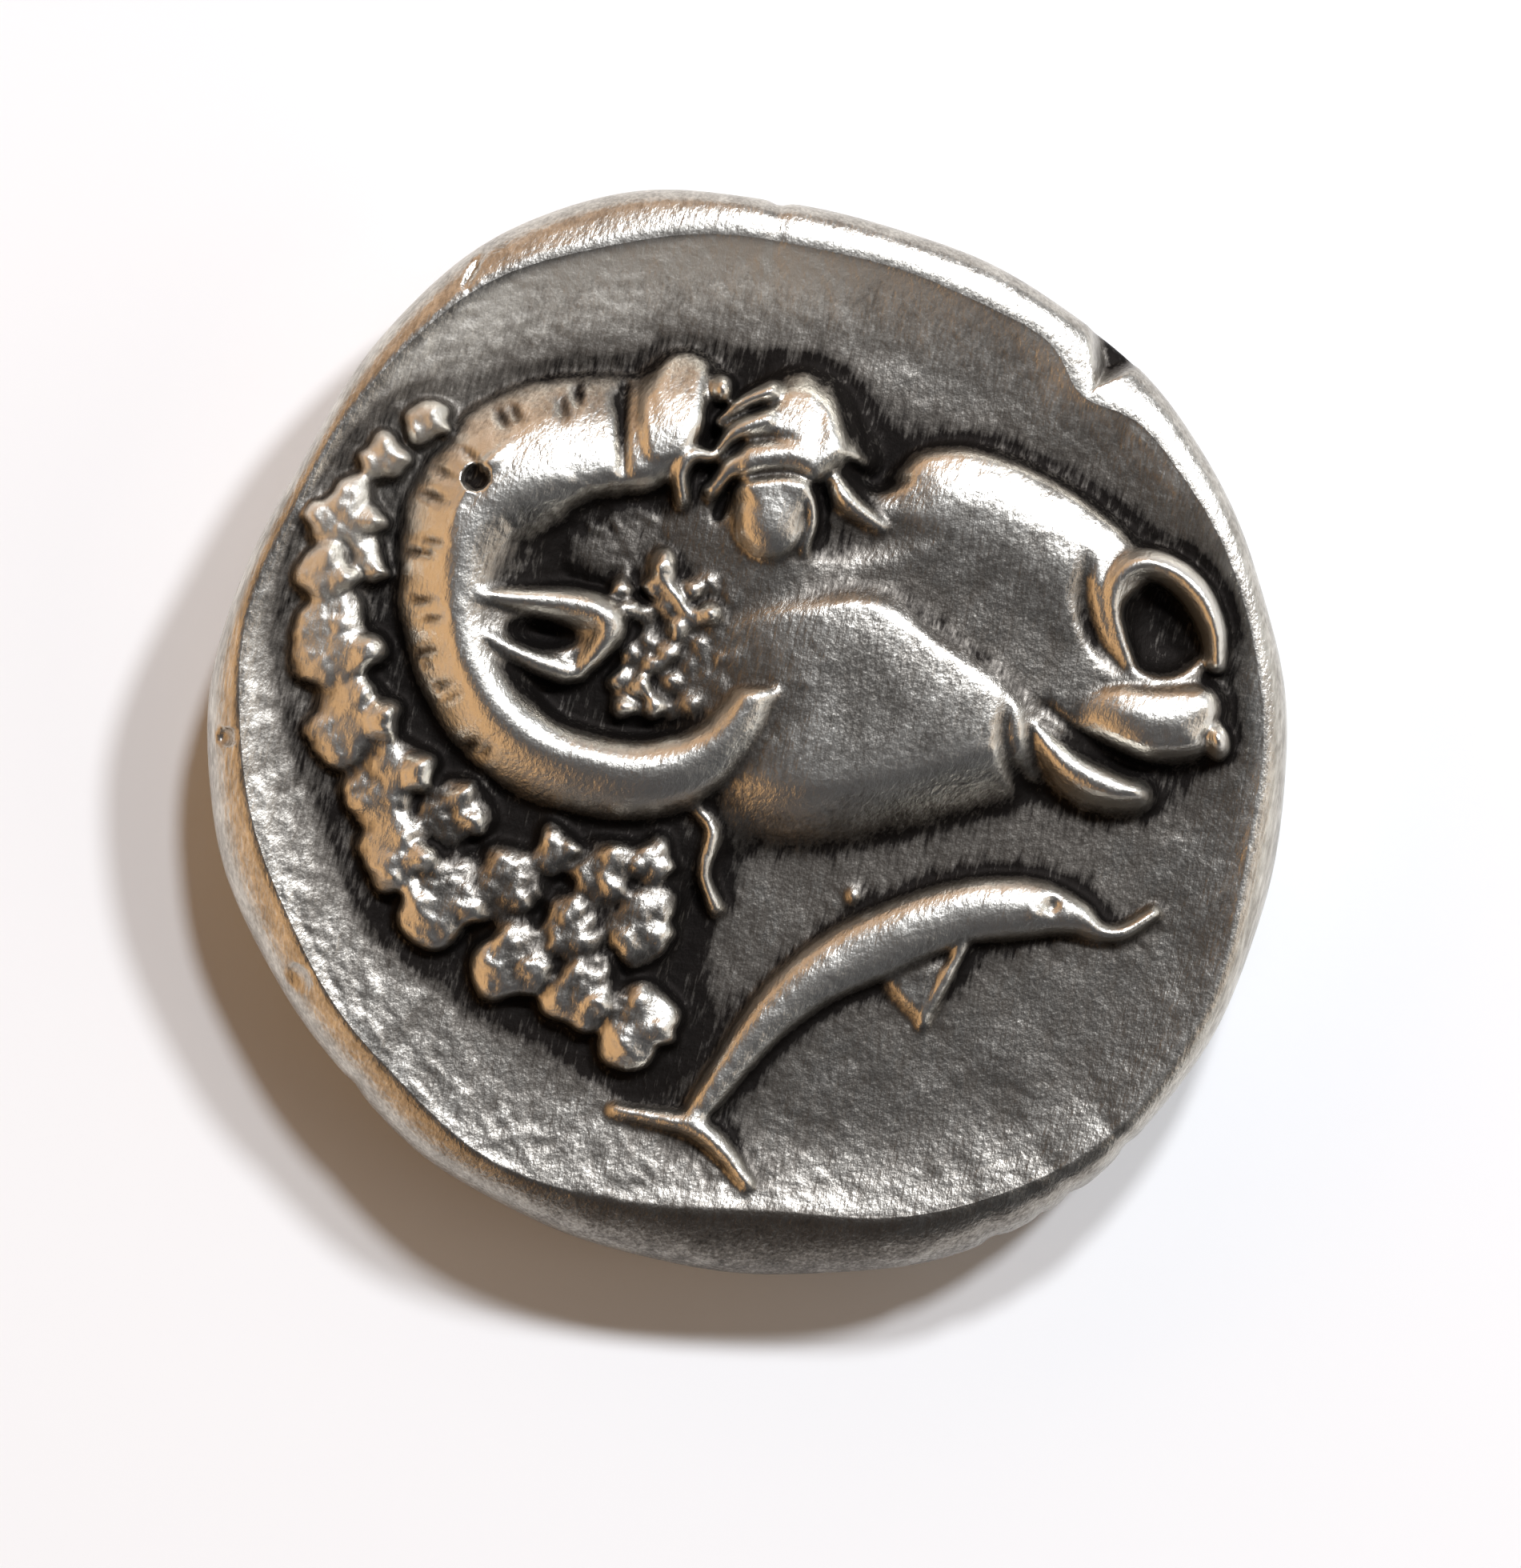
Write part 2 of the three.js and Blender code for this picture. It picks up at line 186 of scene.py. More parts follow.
def plate(points, height, band, share, shoulder):
    """A raised area with a smooth outline. Its edge slopes up over a band to a share of the
    height, and from there it swells to the full height over a shoulder."""
    run = curve_through(points, closed=True)

    def rise(x, y):
        result = np.zeros(x.shape)
        near = near_rows(run, 0, x, y)
        px, py = x[near], y[near]
        inside = np.zeros(px.shape, bool)
        for (ax, ay), (bx, by) in zip(run[:-1], run[1:]):
            if ay != by:
                crosses = ((ay > py) != (by > py)) & (px < ax + (bx - ax) * (py - ay) / (by - ay))
                inside ^= crosses
        distance = nearest(run, px, py)[0]
        edge = np.clip(distance / band, 0, 1) ** 0.9
        swell = 1 - (1 - np.clip((distance - band / 2) / shoulder, 0, 1)) ** 1.8
        result[near] = np.where(inside, height * (share * edge + (1 - share) * swell), 0)
        return result

    return rise


def boss(cx, cy, long, short, turn, height, fullness=0.6, base=0):
    """A rounded boss on ground of height base: middle, two radii, turn in degrees, height."""
    cos, sin = math.cos(math.radians(turn)), math.sin(math.radians(turn))

    def rise(x, y):
        u = ((x - cx) * cos + (y - cy) * sin) / long
        v = ((y - cy) * cos - (x - cx) * sin) / short
        away = np.hypot(u, v)
        dome = rounded(np.minimum(away, 1), fullness)
        return np.where(away < 1, base + (height - base) * dome, 0)

    return rise


def lowest(*forms):
    """The lowest of several forms: one form kept inside the outline of another."""
    return lambda x, y: np.minimum.reduce([form(x, y) for form in forms])


# A lock of wool waves in broad and small lobes: count and size. Its strands have a depth, a
# gap and a bow, and its lean keeps it between two shares of its height.
TUFT_FULLNESS = 0.26
BROAD_LOBES = (3, 0.1)
SMALL_LOBES = (5, 0.06)
STRAND_DEPTH = 0.05
STRAND_GAP = 3.1
STRAND_BOW = 0.05
LOWEST_LEAN = 0.3
HIGHEST_LEAN = 1.15


def tuft(cx, cy, long, short, turn, height, lean=0):
    """A lock of wool: a flat-topped boss with a wavy outline and fine strands along it. It
    sinks to the left by a share, lean, of its height per unit."""
    cos, sin = math.cos(math.radians(turn)), math.sin(math.radians(turn))
    phase = 1.7 * cx + 2.3 * cy

    def rise(x, y):
        u = (x - cx) * cos + (y - cy) * sin
        v = (y - cy) * cos - (x - cx) * sin
        around = np.arctan2(v, u)
        lobes = (1 + BROAD_LOBES[1] * np.cos(BROAD_LOBES[0] * around + phase)
                 + SMALL_LOBES[1] * np.cos(SMALL_LOBES[0] * around + 2 * phase))
        away = np.hypot(u / long, v / short) / lobes
        bowed = v + STRAND_BOW * u * u
        strands = STRAND_DEPTH * (0.5 - 0.5 * np.cos(2 * np.pi * bowed / STRAND_GAP + phase))
        leaned = np.clip(1 + lean * (x - cx), LOWEST_LEAN, HIGHEST_LEAN)
        dome = rounded(np.minimum(away, 1), TUFT_FULLNESS)
        return np.where(away < 1, height * leaned * dome * (1 - strands), 0)

    return rise


# Ram's head, from the broad masses to the small forms

# The face and the cheek are thinned by this form, so that the jaw rounds down to the field.
JAW = plate([
    (-40, -12), (-8, -18), (6, -20.8), (20, -20.4), (34, -17.4), (47, -14), (56, -10.4),
    (70, -9.4), (112, -9.4), (112, 82), (-40, 82),
], 1, 11, 0.72, 12)
JAW_ROUNDING = 0.7

FACE_HEIGHT = 0.62
FACE_PLATE = plate([
    (-10, -16), (-18, 4), (-20, 24), (-20, 44), (-6, 57), (8, 62), (17, 62), (21, 54), (25, 47),
    (32, 52.5), (42, 53.5), (53, 50), (62, 45), (71, 38), (79, 29), (85, 17), (86, 6), (82, -6),
    (70, -9), (58, -12), (47, -14), (34, -17.4), (20, -20.4), (6, -20.8),
], FACE_HEIGHT, 2.4, 0.55, 11)

# The nose's crest runs at this slant and distance from the middle. Below it, and right of
# the brow, the face sinks over a band of this width.
NOSE_LEAN = math.radians(63.5)
NOSE_CREST = 54
NOSE_SINKING = 0.08
NOSE_BAND = 15
BROW_EDGE = 8
BROW_BAND = 14


def face(x, y):
    """The face, which sinks towards the wool on its left and from the nose to the cheek."""
    below_nose = NOSE_CREST - x * math.cos(NOSE_LEAN) - y * math.sin(NOSE_LEAN)
    sunk = NOSE_SINKING * smooth(below_nose / NOSE_BAND) * smooth((x - BROW_EDGE) / BROW_BAND)
    height = FACE_PLATE(x, y) * risen(x, -16, 26, 0.6) * (1 - sunk / FACE_HEIGHT)
    return height * JAW(x, y) ** JAW_ROUNDING


NECK = plate([
    (-56, 56), (-68, 46), (-77, 30), (-78, 14), (-74, -2), (-67, -14), (-58, -29), (-47, -42),
    (-34, -50), (-20, -56), (-14, -46), (-10, -34), (-5, -24), (4, -18), (0, 0), (-10, 30),
    (-20, 50), (-40, 58),
], 0.2, 4, 0.8, 6)

CHEEK_PLATE = plate([
    (-16, 8), (-13, 20), (0, 27), (12, 29.5), (22, 30.6), (30, 28.6), (37, 23.4), (44, 18.4),
    (51, 13), (56.5, 5), (56, -10.4), (47, -15), (34, -18.4), (20, -21.4), (6, -22), (-14, -17),
], 0.8, 6.5, 0.86, 11)


def cheek(x, y):
    """The cheek, which sinks towards the wool on its left."""
    return CHEEK_PLATE(x, y) * risen(x, -14, 30, 0.5) * JAW(x, y) ** JAW_ROUNDING


BROW_HOLLOW = boss(22, 36, 16, 4.6, 4, 0.09, 1.2)

# The horn follows the crease between its outer slope and its broad top. Each row is x, y,
# width of the slope, width of the top, height, and height of the crease as a share of it.
HORN_RUN = curve_through([
    (-20, 57, 9, 15, 0.86, 0.74), (-30, 57.4, 8.8, 18, 0.93, 0.74),
    (-38, 55.6, 9, 20, 0.97, 0.78), (-46, 50.6, 9.6, 21, 1, 0.84),
    (-51.4, 43.2, 10, 21, 1, 0.9), (-53.6, 35, 10.6, 19, 1, 0.94), (-54, 26, 10.6, 16, 1, 0.95),
    (-53, 17, 10, 14, 1, 0.94), (-50.6, 8.5, 9, 12.5, 1, 0.9),
    (-46.6, 0.4, 7.4, 12, 0.98, 0.84), (-40.2, -5.6, 6.8, 11.5, 0.96, 0.8),
    (-31, -10, 5.8, 11.8, 0.95, 0.78), (-20, -12.2, 5, 12, 0.94, 0.78),
    (-10, -10.8, 4, 12, 0.93, 0.78), (-3, -6.8, 2.8, 11, 0.93, 0.8),
    (1.8, -1.2, 2.4, 9.5, 0.95, 0.8), (5, 4.2, 2, 8.8, 0.98, 0.8), (7.4, 9.6, 1.6, 8.6, 1, 0.8),
])
HORN_REACH = 36
HORN_POINTS = np.arange(len(HORN_RUN))

# The tip ends at a height in the picture, right of a place, and is rounded over a length.
TIP_END = 9.4
TIP_LEFT = -8
TIP_ROUNDING = 1.6

# Nicks lie along the run in points, and across the slope in shares of its width.
HORN_NICKS = 17
FIRST_NICK = 2
NICK_SPACING = 3.4
NICK_HALF_WIDTH = 0.42
NICK_MIDDLE = 0.6
NICK_HALF_LENGTH = 0.3
NICK_DEPTH = 0.12

# In the horn's upper half its inner side runs out into short wool, which slopes down to
# the ear: height at the crease, fall per unit and per square unit, and its flutes.
UPPER_END = 58
UPPER_FADE = 14
WOOL_CREST = 0.98
WOOL_FALL = 0.012
WOOL_CURVE = 0.0011
FLUTE_DEPTH = 0.035
FLUTE_TURNS = 4.2


def horn_nicks(along, slope):
    """Short cuts across the outer slope, 0 to 1."""
    cut = np.zeros(along.shape)
    for k in range(HORN_NICKS):
        place = FIRST_NICK + NICK_SPACING * k + 1.1 * math.sin(2.6 * k)
        middle = NICK_MIDDLE + 0.14 * math.sin(4.1 * k)
        away = np.hypot((along - place) / NICK_HALF_WIDTH, (slope - middle) / NICK_HALF_LENGTH)
        cut = np.maximum(cut, rounded(np.minimum(away, 1), 0.8))
    return cut


def nick_soot(x, y):
    """Where the nicks of the horn hold dirt, 0 to 1."""
    distance, along, side = nearest(HORN_RUN, x, y)
    outer = np.interp(along, HORN_POINTS, HORN_RUN[:, 2])
    on_slope = (side < 0) & (distance < outer)
    return np.where(on_slope, horn_nicks(along, 1 - distance / outer), 0)


def horn(x, y):
    """A slope with nicks up to the crease, then a broad top that falls off inside."""
    height = np.zeros(x.shape)
    near = near_rows(HORN_RUN, HORN_REACH, x, y)
    distance, along, side = nearest(HORN_RUN, x[near], y[near])
    outer, inner, top, crease = (
        np.interp(along, HORN_POINTS, HORN_RUN[:, k]) for k in (2, 3, 4, 5))
    slope = np.clip(1 - distance / outer, 0, 1)
    across = np.clip(distance / inner, 0, 1)
    crest = 2.2 * (1 - crease)
    upper = smooth((UPPER_END - along) / UPPER_FADE)
    swell = crease + (1 - crease) * (1 - (1 - np.minimum(across / crest, 1)) ** 1.6)
    past_crest = np.maximum((across - crest) / (1 - crest), 0)
    fall = np.maximum(1 - past_crest ** 2, 0) ** (0.42 + 0.5 * upper)
    flutes = FLUTE_DEPTH * np.cos(along * FLUTE_TURNS + 0.12 * distance)
    flutes = flutes * smooth((distance - 8) / 6)
    woolly = WOOL_CREST - WOOL_FALL * distance - WOOL_CURVE * distance ** 2 + flutes
    woolly = np.maximum(woolly, 0) * upper * smooth((along - 6) / 12)
    inside = np.maximum(swell * fall, woolly)
    outside = crease * slope ** 0.62 - NICK_DEPTH * horn_nicks(along, slope)
    end = np.where(x[near] > TIP_LEFT, smooth((TIP_END - y[near]) / TIP_ROUNDING), 1)
    height[near] = top * np.where(side > 0, inside, outside) * end
    return np.maximum(height, 0)


FORELOCK = [
    lowest(
        plate([
            (-22.4, 50), (-22.8, 57), (-21, 63.4), (-16.6, 68), (-11.6, 70.8), (-6.4, 69.6),
            (-3, 66), (-2.4, 60), (-3.6, 53.4), (-7.6, 47), (-13.6, 44.6), (-19.6, 45.6),
        ], 1, 6, 0.84, 5),
        ridge([(-34, 49.5, 22.4, 7, 0.9), (10, 50.5, 21.8, 7, 0.93)], 1),
    ),
    boss(-3.6, 63, 2.4, 3, 0, 0.74, 0.6, 0.3),
    cord([
        (-5, 50.6, 1.4, 0.8), (-8.8, 51, 1.8, 0.95), (-11.2, 47.8, 1.8, 0.92),
        (-10.8, 43, 1.5, 0.7),
    ], 0.6, 0.5),
]

BROW = [
    lowest(
        plate([
            (-6.4, 42), (-6.6, 50), (-4.4, 57.4), (1, 63), (7, 67), (13, 67.4), (19, 64),
            (23.4, 57), (26, 50.6), (24, 46.6), (19, 43), (14, 34), (2, 33), (-3, 38),
        ], 1, 7.5, 0.8, 6),
        ridge([(-18, 46, 27, 20, 0.93), (38, 46, 27, 20, 0.98)], 1),
    ),
    cord([(-3.6, 56.6, 1.7, 0.72), (0.4, 60.2, 2, 0.78), (5.4, 62.6, 2, 0.8)], 0.6, 0.4),
    cord([(-4.6, 50.6, 1.8, 0.8), (-1, 55, 2.2, 0.9), (4.6, 57.4, 2.2, 0.94)], 0.6, 0.5),
    cord([
        (-5.4, 44.6, 1.6, 0.78), (-1.4, 49, 2, 0.88), (5, 50.8, 2.3, 0.97),
        (11.6, 50.6, 2.2, 0.97),
    ], 0.6, 0.6),
]

EYE = [
    boss(5.4, 39.4, 6.6, 7.4, 0, 0.96, 0.62, 0.66),
    cord([
        (3, 47, 1.2, 0.88), (8, 47.2, 1.5, 0.93), (12.2, 43.8, 1.5, 0.92),
        (13, 38.6, 1.3, 0.86), (11.2, 33.6, 0.9, 0.72),
    ], 0.6, 0.6),
    cord([
        (17, 46.6, 1.5, 0.76), (18.4, 43.4, 2.4, 0.84), (21.2, 40.8, 1.9, 0.76),
        (25.6, 37.8, 1.2, 0.6),
    ], 0.6, 0.5),
]

NOSTRIL_HOLLOW = boss(77, 19.5, 9, 8.5, 90, 0.52, 0.5)
NOSTRIL = [
    cord([
        (70.8, 13, 1.9, 0.58), (68.9, 18, 2.3, 0.66), (67.6, 24, 2.7, 0.72),
        (68.9, 28.8, 3.1, 0.78), (73.2, 31.2, 3.3, 0.82), (79, 29.4, 3.3, 0.82),
        (83.6, 25, 3.1, 0.8), (86.2, 19, 2.7, 0.74), (86.6, 13, 2.2, 0.62),
    ]),
    cord([
        (65.4, 30, 1.5, 0.56), (64.3, 23, 1.8, 0.62), (66.4, 17.6, 1.7, 0.58),
        (70, 13.6, 1.4, 0.52),
    ]),
]

LOWER_LIP = plate([
    (49.6, 9), (49.4, 1), (52.8, -6.2), (58.8, -12), (66.8, -15), (74, -14.6), (76.6, -11),
    (74.6, -7), (70, -5), (62, -0.6), (56, 4.6), (52, 9),
], 0.7, 3.6, 0.72, 5)
UPPER_LIP_PLATE = plate([
    (53.5, 8), (60, 9.8), (67, 11.6), (76, 11.2), (84, 11.2), (88, 8.6), (89.2, 4), (87.6, 0),
    (84.8, -4.8), (79, -6.2), (72, -5.8), (63, -1.8), (57, 3.2),
], 0.86, 3.6, 0.72, 10)


def upper_lip(x, y):
    """The upper lip, which sinks into the face on its left."""
    return UPPER_LIP_PLATE(x, y) * risen(x, 55, 18, 0.66)


MOUTH = [LOWER_LIP, upper_lip, boss(86.6, -0.8, 2.8, 4, 15, 0.74)]

EAR = [
    plate([
        (-48, 26), (-38, 27), (-27, 26), (-21.5, 21), (-26, 13), (-33, 10), (-44, 14),
    ], 0.56, 3, 0.8, 4),
    cord([
        (-48, 25.4, 2, 0.98), (-41, 24.8, 2.8, 0.9), (-33, 24, 3.6, 0.86),
        (-26.4, 22.4, 3.9, 0.88), (-24, 19.6, 3.4, 0.86), (-26.4, 15.4, 2.6, 0.78),
        (-29.8, 11.4, 1.7, 0.6),
    ], 0.55, 0.3),
    cord([
        (-46.5, 18, 1.8, 0.94), (-40, 14.4, 2.6, 0.8), (-33, 11.8, 2.8, 0.66),
        (-29.6, 11.2, 1.8, 0.56),
    ], 0.6, 0.3),
]

SHORT_WOOL = plate([
    (-48, 30), (-46, 42), (-38, 49), (-26, 50), (-14, 47), (-9, 38), (-10, 26), (-20, 22),
    (-34, 26),
], 0.34, 5, 0.7, 8)
WOOL_GROUND = plate([
    (-27, 10), (-23, 22), (-15, 27), (-5, 25), (0, 14), (-3, 4), (-14, -1), (-24, 2),
], 0.4, 4, 0.7, 5)
HAIR = [
    boss(-14.3, 30.4, 3.2, 4.8, 0, 0.74, 0.55),
    cord([(-13.4, 27, 1.8, 0.66), (-10.6, 23, 1.7, 0.62), (-9.6, 19.5, 1.5, 0.56)], 0.6, 0.2),
    boss(-5.8, 22, 2.7, 2.5, 0, 0.8, 0.6, 0.3),
]

THROAT = cord([
    (-9, -13, 1.8, 0.4), (-5.4, -17.5, 2, 0.4), (-7, -25, 1.9, 0.36), (-5, -31.5, 1.9, 0.28),
])

# The fleece: each lock is x, y, half length, half width and turn in degrees. Within a band
# from the outer edge, the locks lean more and spread less than further in.
LOCK_HEIGHT = 0.53
OUTER_EDGE = -66
INNER_BAND = 14
OUTER_LEAN = 0.075
OUTER_SPREAD = 1.1
LOCKS = [
    (-57.8, 57, 4.2, 3, 50), (-65.4, 50.4, 4.4, 3.8, 60), (-72.4, 39.6, 7, 5, 60),
    (-76.2, 29.4, 5.6, 4.8, 70), (-68.8, 31.4, 4.8, 3.6, 60), (-74.4, 16.8, 9, 7.4, 80),
    (-71.4, 2.6, 8.4, 7.6, 65), (-65.2, -8, 8.8, 7.4, 75), (-63.4, -20.8, 7.4, 6, 65),
    (-53, -14.4, 6.8, 5.6, 40), (-54.4, -29.4, 8.2, 6.8, 60), (-43, -27, 6.6, 5.8, 45),
    (-41.6, -41, 7, 6.2, 55), (-31.4, -35.4, 6.2, 5.4, 50), (-25.2, -25, 6.4, 5.4, 30),
    (-19.2, -34.6, 6.8, 6, 60), (-29.4, -46.8, 6.6, 5.8, 50), (-19.6, -52.6, 7.2, 6, 65),
    (-34.2, -21.6, 4.8, 3.8, 80), (-16.6, -23.4, 4.4, 3.6, 60),
]


def fleece():
    """Each lock is a broad tuft with three smaller ones on it. The neck rounds down to the
    left, and the outermost locks lean with it."""
    tufts = []
    for x, y, long, short, turn in LOCKS:
        inner = float(smooth((x - OUTER_EDGE) / INNER_BAND))
        lean = OUTER_LEAN - 0.065 * inner
        spread = OUTER_SPREAD + 0.16 * inner
        tufts.append(tuft(x, y, spread * long, spread * short, turn, LOCK_HEIGHT, lean))
        for k in range(3):
            way = math.radians(turn + 35 + 120 * k + 25 * math.sin(x + 2 * k))
            height = LOCK_HEIGHT * (1.06 + 0.06 * math.sin(2.7 * x + 3 * k))
            height *= 1 + 0.58 * lean * long * math.cos(way)
            across, up = 0.58 * long * math.cos(way), 0.58 * short * math.sin(way)
            tufts.append(tuft(
                x + across, y + up, 0.62 * long, 0.54 * short, turn + 60 * k, height, lean))
    return tufts


# Where the grid of curls starts, the gap in it, and how far a curl wanders off it.
WOOL_CORNER = (-21.5, 5)
WOOL_GAP = 4.4
WOOL_WANDER = 1.3


def wool():
    """Short curls between the ear and the cheek, on an uneven grid."""
    curls = []
    for row in range(6):
        for column in range(5):
            x = WOOL_CORNER[0] + WOOL_GAP * column
            y = WOOL_CORNER[1] + WOOL_GAP * row
            x += WOOL_WANDER * math.sin(3.7 * row + 1.3 * column)
            y += WOOL_WANDER * math.sin(2.9 * column + 0.7 * row)
            height = 0.57 + 0.07 * math.sin(5.1 * row + 2.3 * column)
            curls.append(tuft(x, y, 2.9, 2.4, 37 * (row + 2 * column), height))
    return curls


DOLPHIN = [
    ridge([
        (-9, -70, 2.4, 2.6, 0.3), (-3, -61.6, 3.2, 3.6, 0.36), (5, -51.5, 4.4, 4.8, 0.4),
        (14, -44, 5.6, 5.8, 0.43), (24, -38.8, 6.6, 6.6, 0.45), (39, -33, 6.2, 6.2, 0.47),
        (52, -31.6, 5.7, 5.8, 0.47), (60.5, -33, 3.7, 3.8, 0.42), (65.5, -36, 1.9, 1.9, 0.34),
        (70, -36, 1.5, 1.5, 0.3), (75.4, -32.6, 1.2, 1.2, 0.26),
    ], 0.42),
    cord([
        (-23.5, -68.6, 1.3, 0.14), (-15, -70.2, 2, 0.26), (-9, -71.5, 2.5, 0.32),
        (-4.4, -75, 2.3, 0.3), (1, -82, 1.4, 0.16),
    ]),
    cord([(40.4, -38.6, 1.5, 0.32), (37, -45, 1.4, 0.28), (32.8, -53, 1, 0.16)]),
    plate([(25, -44), (39.6, -39.5), (36.5, -46), (32.6, -53)], 0.17, 2, 0.8, 2),
    boss(53.2, -32.8, 1.5, 2.2, 0, 0.53),
    boss(20.4, -29.4, 1.3, 1.7, 0, 0.12),
]

# Every form with the fill of the corner where it meets what is carved before it.
FIRST_FORMS = [
    (NECK, 0.08), (SHORT_WOOL, 0.05), (WOOL_GROUND, 0.05), (face, 0.12), (cheek, 0.3)]
LATER_FORMS = [(form, 0.09) for form in fleece()] + [(form, 0.04) for form in wool()]
LATER_FORMS += [(THROAT, 0.08)]
LATER_FORMS += [
    (form, 0.09) for form in EAR + HAIR + [horn] + FORELOCK + BROW + EYE + MOUTH + DOLPHIN]

# Grooves cut back into the forms. The last number of each row is a depth.
GROOVES = [
    cord([
        (63, 32, 1.4, 0.05), (62.4, 25, 2, 0.14), (64.4, 17.6, 2, 0.14),
        (68.5, 12.4, 1.6, 0.08),
    ], 1),
    cord([
        (48, 6, 1.4, 0.04), (48, -2, 2, 0.1), (51.6, -9.5, 2.2, 0.12), (57.6, -14.6, 2, 0.08),
    ], 1),
    cord([(55, 5.6, 0.9, 0.08), (62, 0, 1, 0.14), (70, -5, 1.1, 0.16), (78, -6.6, 1, 0.1)], 1),
    boss(-36, 18.4, 7.5, 3, -8, 0.34, 1),
    boss(-13.9, 29.4, 0.9, 1, 0, 0.14, 1),
    boss(56.6, -31.3, 1.7, 1.7, 0, 0.14, 1),
    cord([(14.2, 66, 0.8, 0.03), (14.4, 58, 0.9, 0.05), (14, 53, 0.8, 0.03)], 1),
    cord([
        (-5.6, 53, 1, 0.2), (-2.4, 57.2, 1.1, 0.22), (2.4, 59.8, 1.1, 0.16),
        (7, 60.8, 0.8, 0.05),
    ], 1),
    cord([
        (-6.4, 46.6, 1, 0.2), (-2.4, 52, 1.1, 0.22), (2.6, 53.8, 1.1, 0.18), (9, 54, 0.9, 0.06),
    ], 1),
    cord([
        (-4.4, 40, 1.1, 0.22), (-1.4, 45.6, 1.2, 0.24), (5, 47.6, 1.2, 0.2),
        (11.6, 46.8, 1.2, 0.16), (14.6, 42, 1.3, 0.16), (14, 35, 1.1, 0.08),
    ], 1),
    cord([(17.6, 63.6, 0.7, 0.06), (19.4, 58, 0.8, 0.1), (19.6, 52, 0.7, 0.06)], 1),
    cord([(20.4, 60.4, 0.7, 0.06), (22.6, 55.4, 0.8, 0.1), (22.8, 50, 0.7, 0.06)], 1),
    cord([
        (19, 50.4, 1, 0.14), (22, 47, 1.2, 0.24), (25.6, 45.4, 1.2, 0.24), (30, 46.6, 1, 0.1),
    ], 1),
    cord([(-21.4, 64, 0.9, 0.16), (-21.8, 57, 1, 0.2), (-21.6, 48, 1, 0.14)], 1),
    cord([(-5.4, 67, 0.8, 0.08), (-6.6, 61, 0.9, 0.1), (-5.6, 55, 0.9, 0.1)], 1),
    cord([(-15.6, 68, 0.8, 0.04), (-16.8, 62, 0.9, 0.05), (-15.8, 56.6, 0.8, 0.03)], 1),
]

# Pits and cracks of age, as x, y, two radii, turn and depth.
MARKS = [
    boss(-48.4, 46.8, 2.9, 2.6, 30, 0.24, 0.7), boss(-94.2, -0.4, 1.9, 1.9, 0, 0.14, 0.8),
    boss(-81.2, -44.4, 3.2, 2, 130, 0.1, 1), boss(-49, 85, 4.4, 0.8, 62, 0.1, 1),
    boss(-57, 33, 1, 0.9, 0, 0.05, 1), boss(-57.6, 12.8, 1.1, 0.8, 20, 0.05, 1),
]

DIE_WAVINESS = 0.006


def uneven(x, y):
    """The slight waviness of a hand-cut die, in carved height."""
    waves = np.sin(0.21 * x + 0.7) * np.sin(0.17 * y + 1.9) + np.sin(0.09 * x - 0.13 * y)
    waves = waves + 0.6 * np.sin(0.31 * x + 0.26 * y + 2.2)
    return DIE_WAVINESS * (waves + 0.4 * np.sin(0.55 * y - 0.37 * x))


# The height that a hollow leaves at least, and the share that a groove takes at most.
BROW_FLOOR = 0.3
NOSTRIL_FLOOR = 0.08
DEEPEST_GROOVE = 0.8


def carving(x, y):
    """Carved height over the field, as a share of the relief's rise."""
    height = np.zeros(x.shape)

    def raise_forms(height, forms):
        for form, fill in forms:
            rise = form(x, y)
            met = (rise > 0) & (height > 0)
            height = np.where(met, joined(height, rise, fill), np.maximum(height, rise))
        return height

    height = raise_forms(height, FIRST_FORMS)
    height = np.maximum(height - BROW_HOLLOW(x, y), np.minimum(height, BROW_FLOOR))
    height = raise_forms(height, LATER_FORMS)
    height = np.maximum(height - NOSTRIL_HOLLOW(x, y), np.minimum(height, NOSTRIL_FLOOR))
    height = raise_forms(height, [(form, 0.08) for form in NOSTRIL])
    for groove in GROOVES:
        height = height - np.minimum(groove(x, y), height * DEEPEST_GROOVE)
    return height + uneven(x, y)


# The struck face and the flan

# The lip by direction in degrees: height of its crest as a share of the lip's rise, where
# the field starts to dish up to it, slope of its outer bevel and squareness of the edge.
LIP = np.array([
    (0, 0.3, 0.84, 0.42, 4), (45, 0.34, 0.84, 0.25, 5), (90, 0.9, 0.8, 0.2, 5),
    (135, 1, 0.7, 0.62, 4.5), (180, 0.8, 0.68, 0.8, 4.5), (225, 0.36, 0.64, 0.65, 3.5),
    (270, 0.36, 0.8, 0.5, 2.2), (315, 0.3, 0.84, 0.4, 3.2),
])
LIP_HEIGHT, DISH_START, BEVEL_SLOPE, EDGE_SQUARENESS = 1, 2, 3, 4
DISH_POWER = 1.7

# The notch pulls the crest in towards it. It is a wedge, with a pointed inner end, that
# opens outwards along an axis, and its walls slope down over a width.
NOTCH_PULL = 5
NOTCH_SPREAD = 5
NOTCH_APEX = (64.6, 63.4)
NOTCH_AXIS = math.radians(61)
NOTCH_HALF_ANGLE = math.radians(35)
NOTCH_WALL = 3.4
NOTCH_FLOOR = 0.4

# Nicks in the edge: direction, half width in degrees and how far in they reach. They lower
# the crest by a share of that.
NICKS = [
    (86, 1, 0.7), (296.5, 1.1, 0.7), (302, 0.8, 0.5), (305.5, 1.2, 0.8), (313, 1, 0.6),
    (222, 1.4, 0.4),
]
NICK_DROP = 0.4


def lip(angle, column):
    """A column of the lip's table in each direction."""
    return np.interp(np.degrees(angle) % 360, LIP[:, 0], LIP[:, column], period=360)


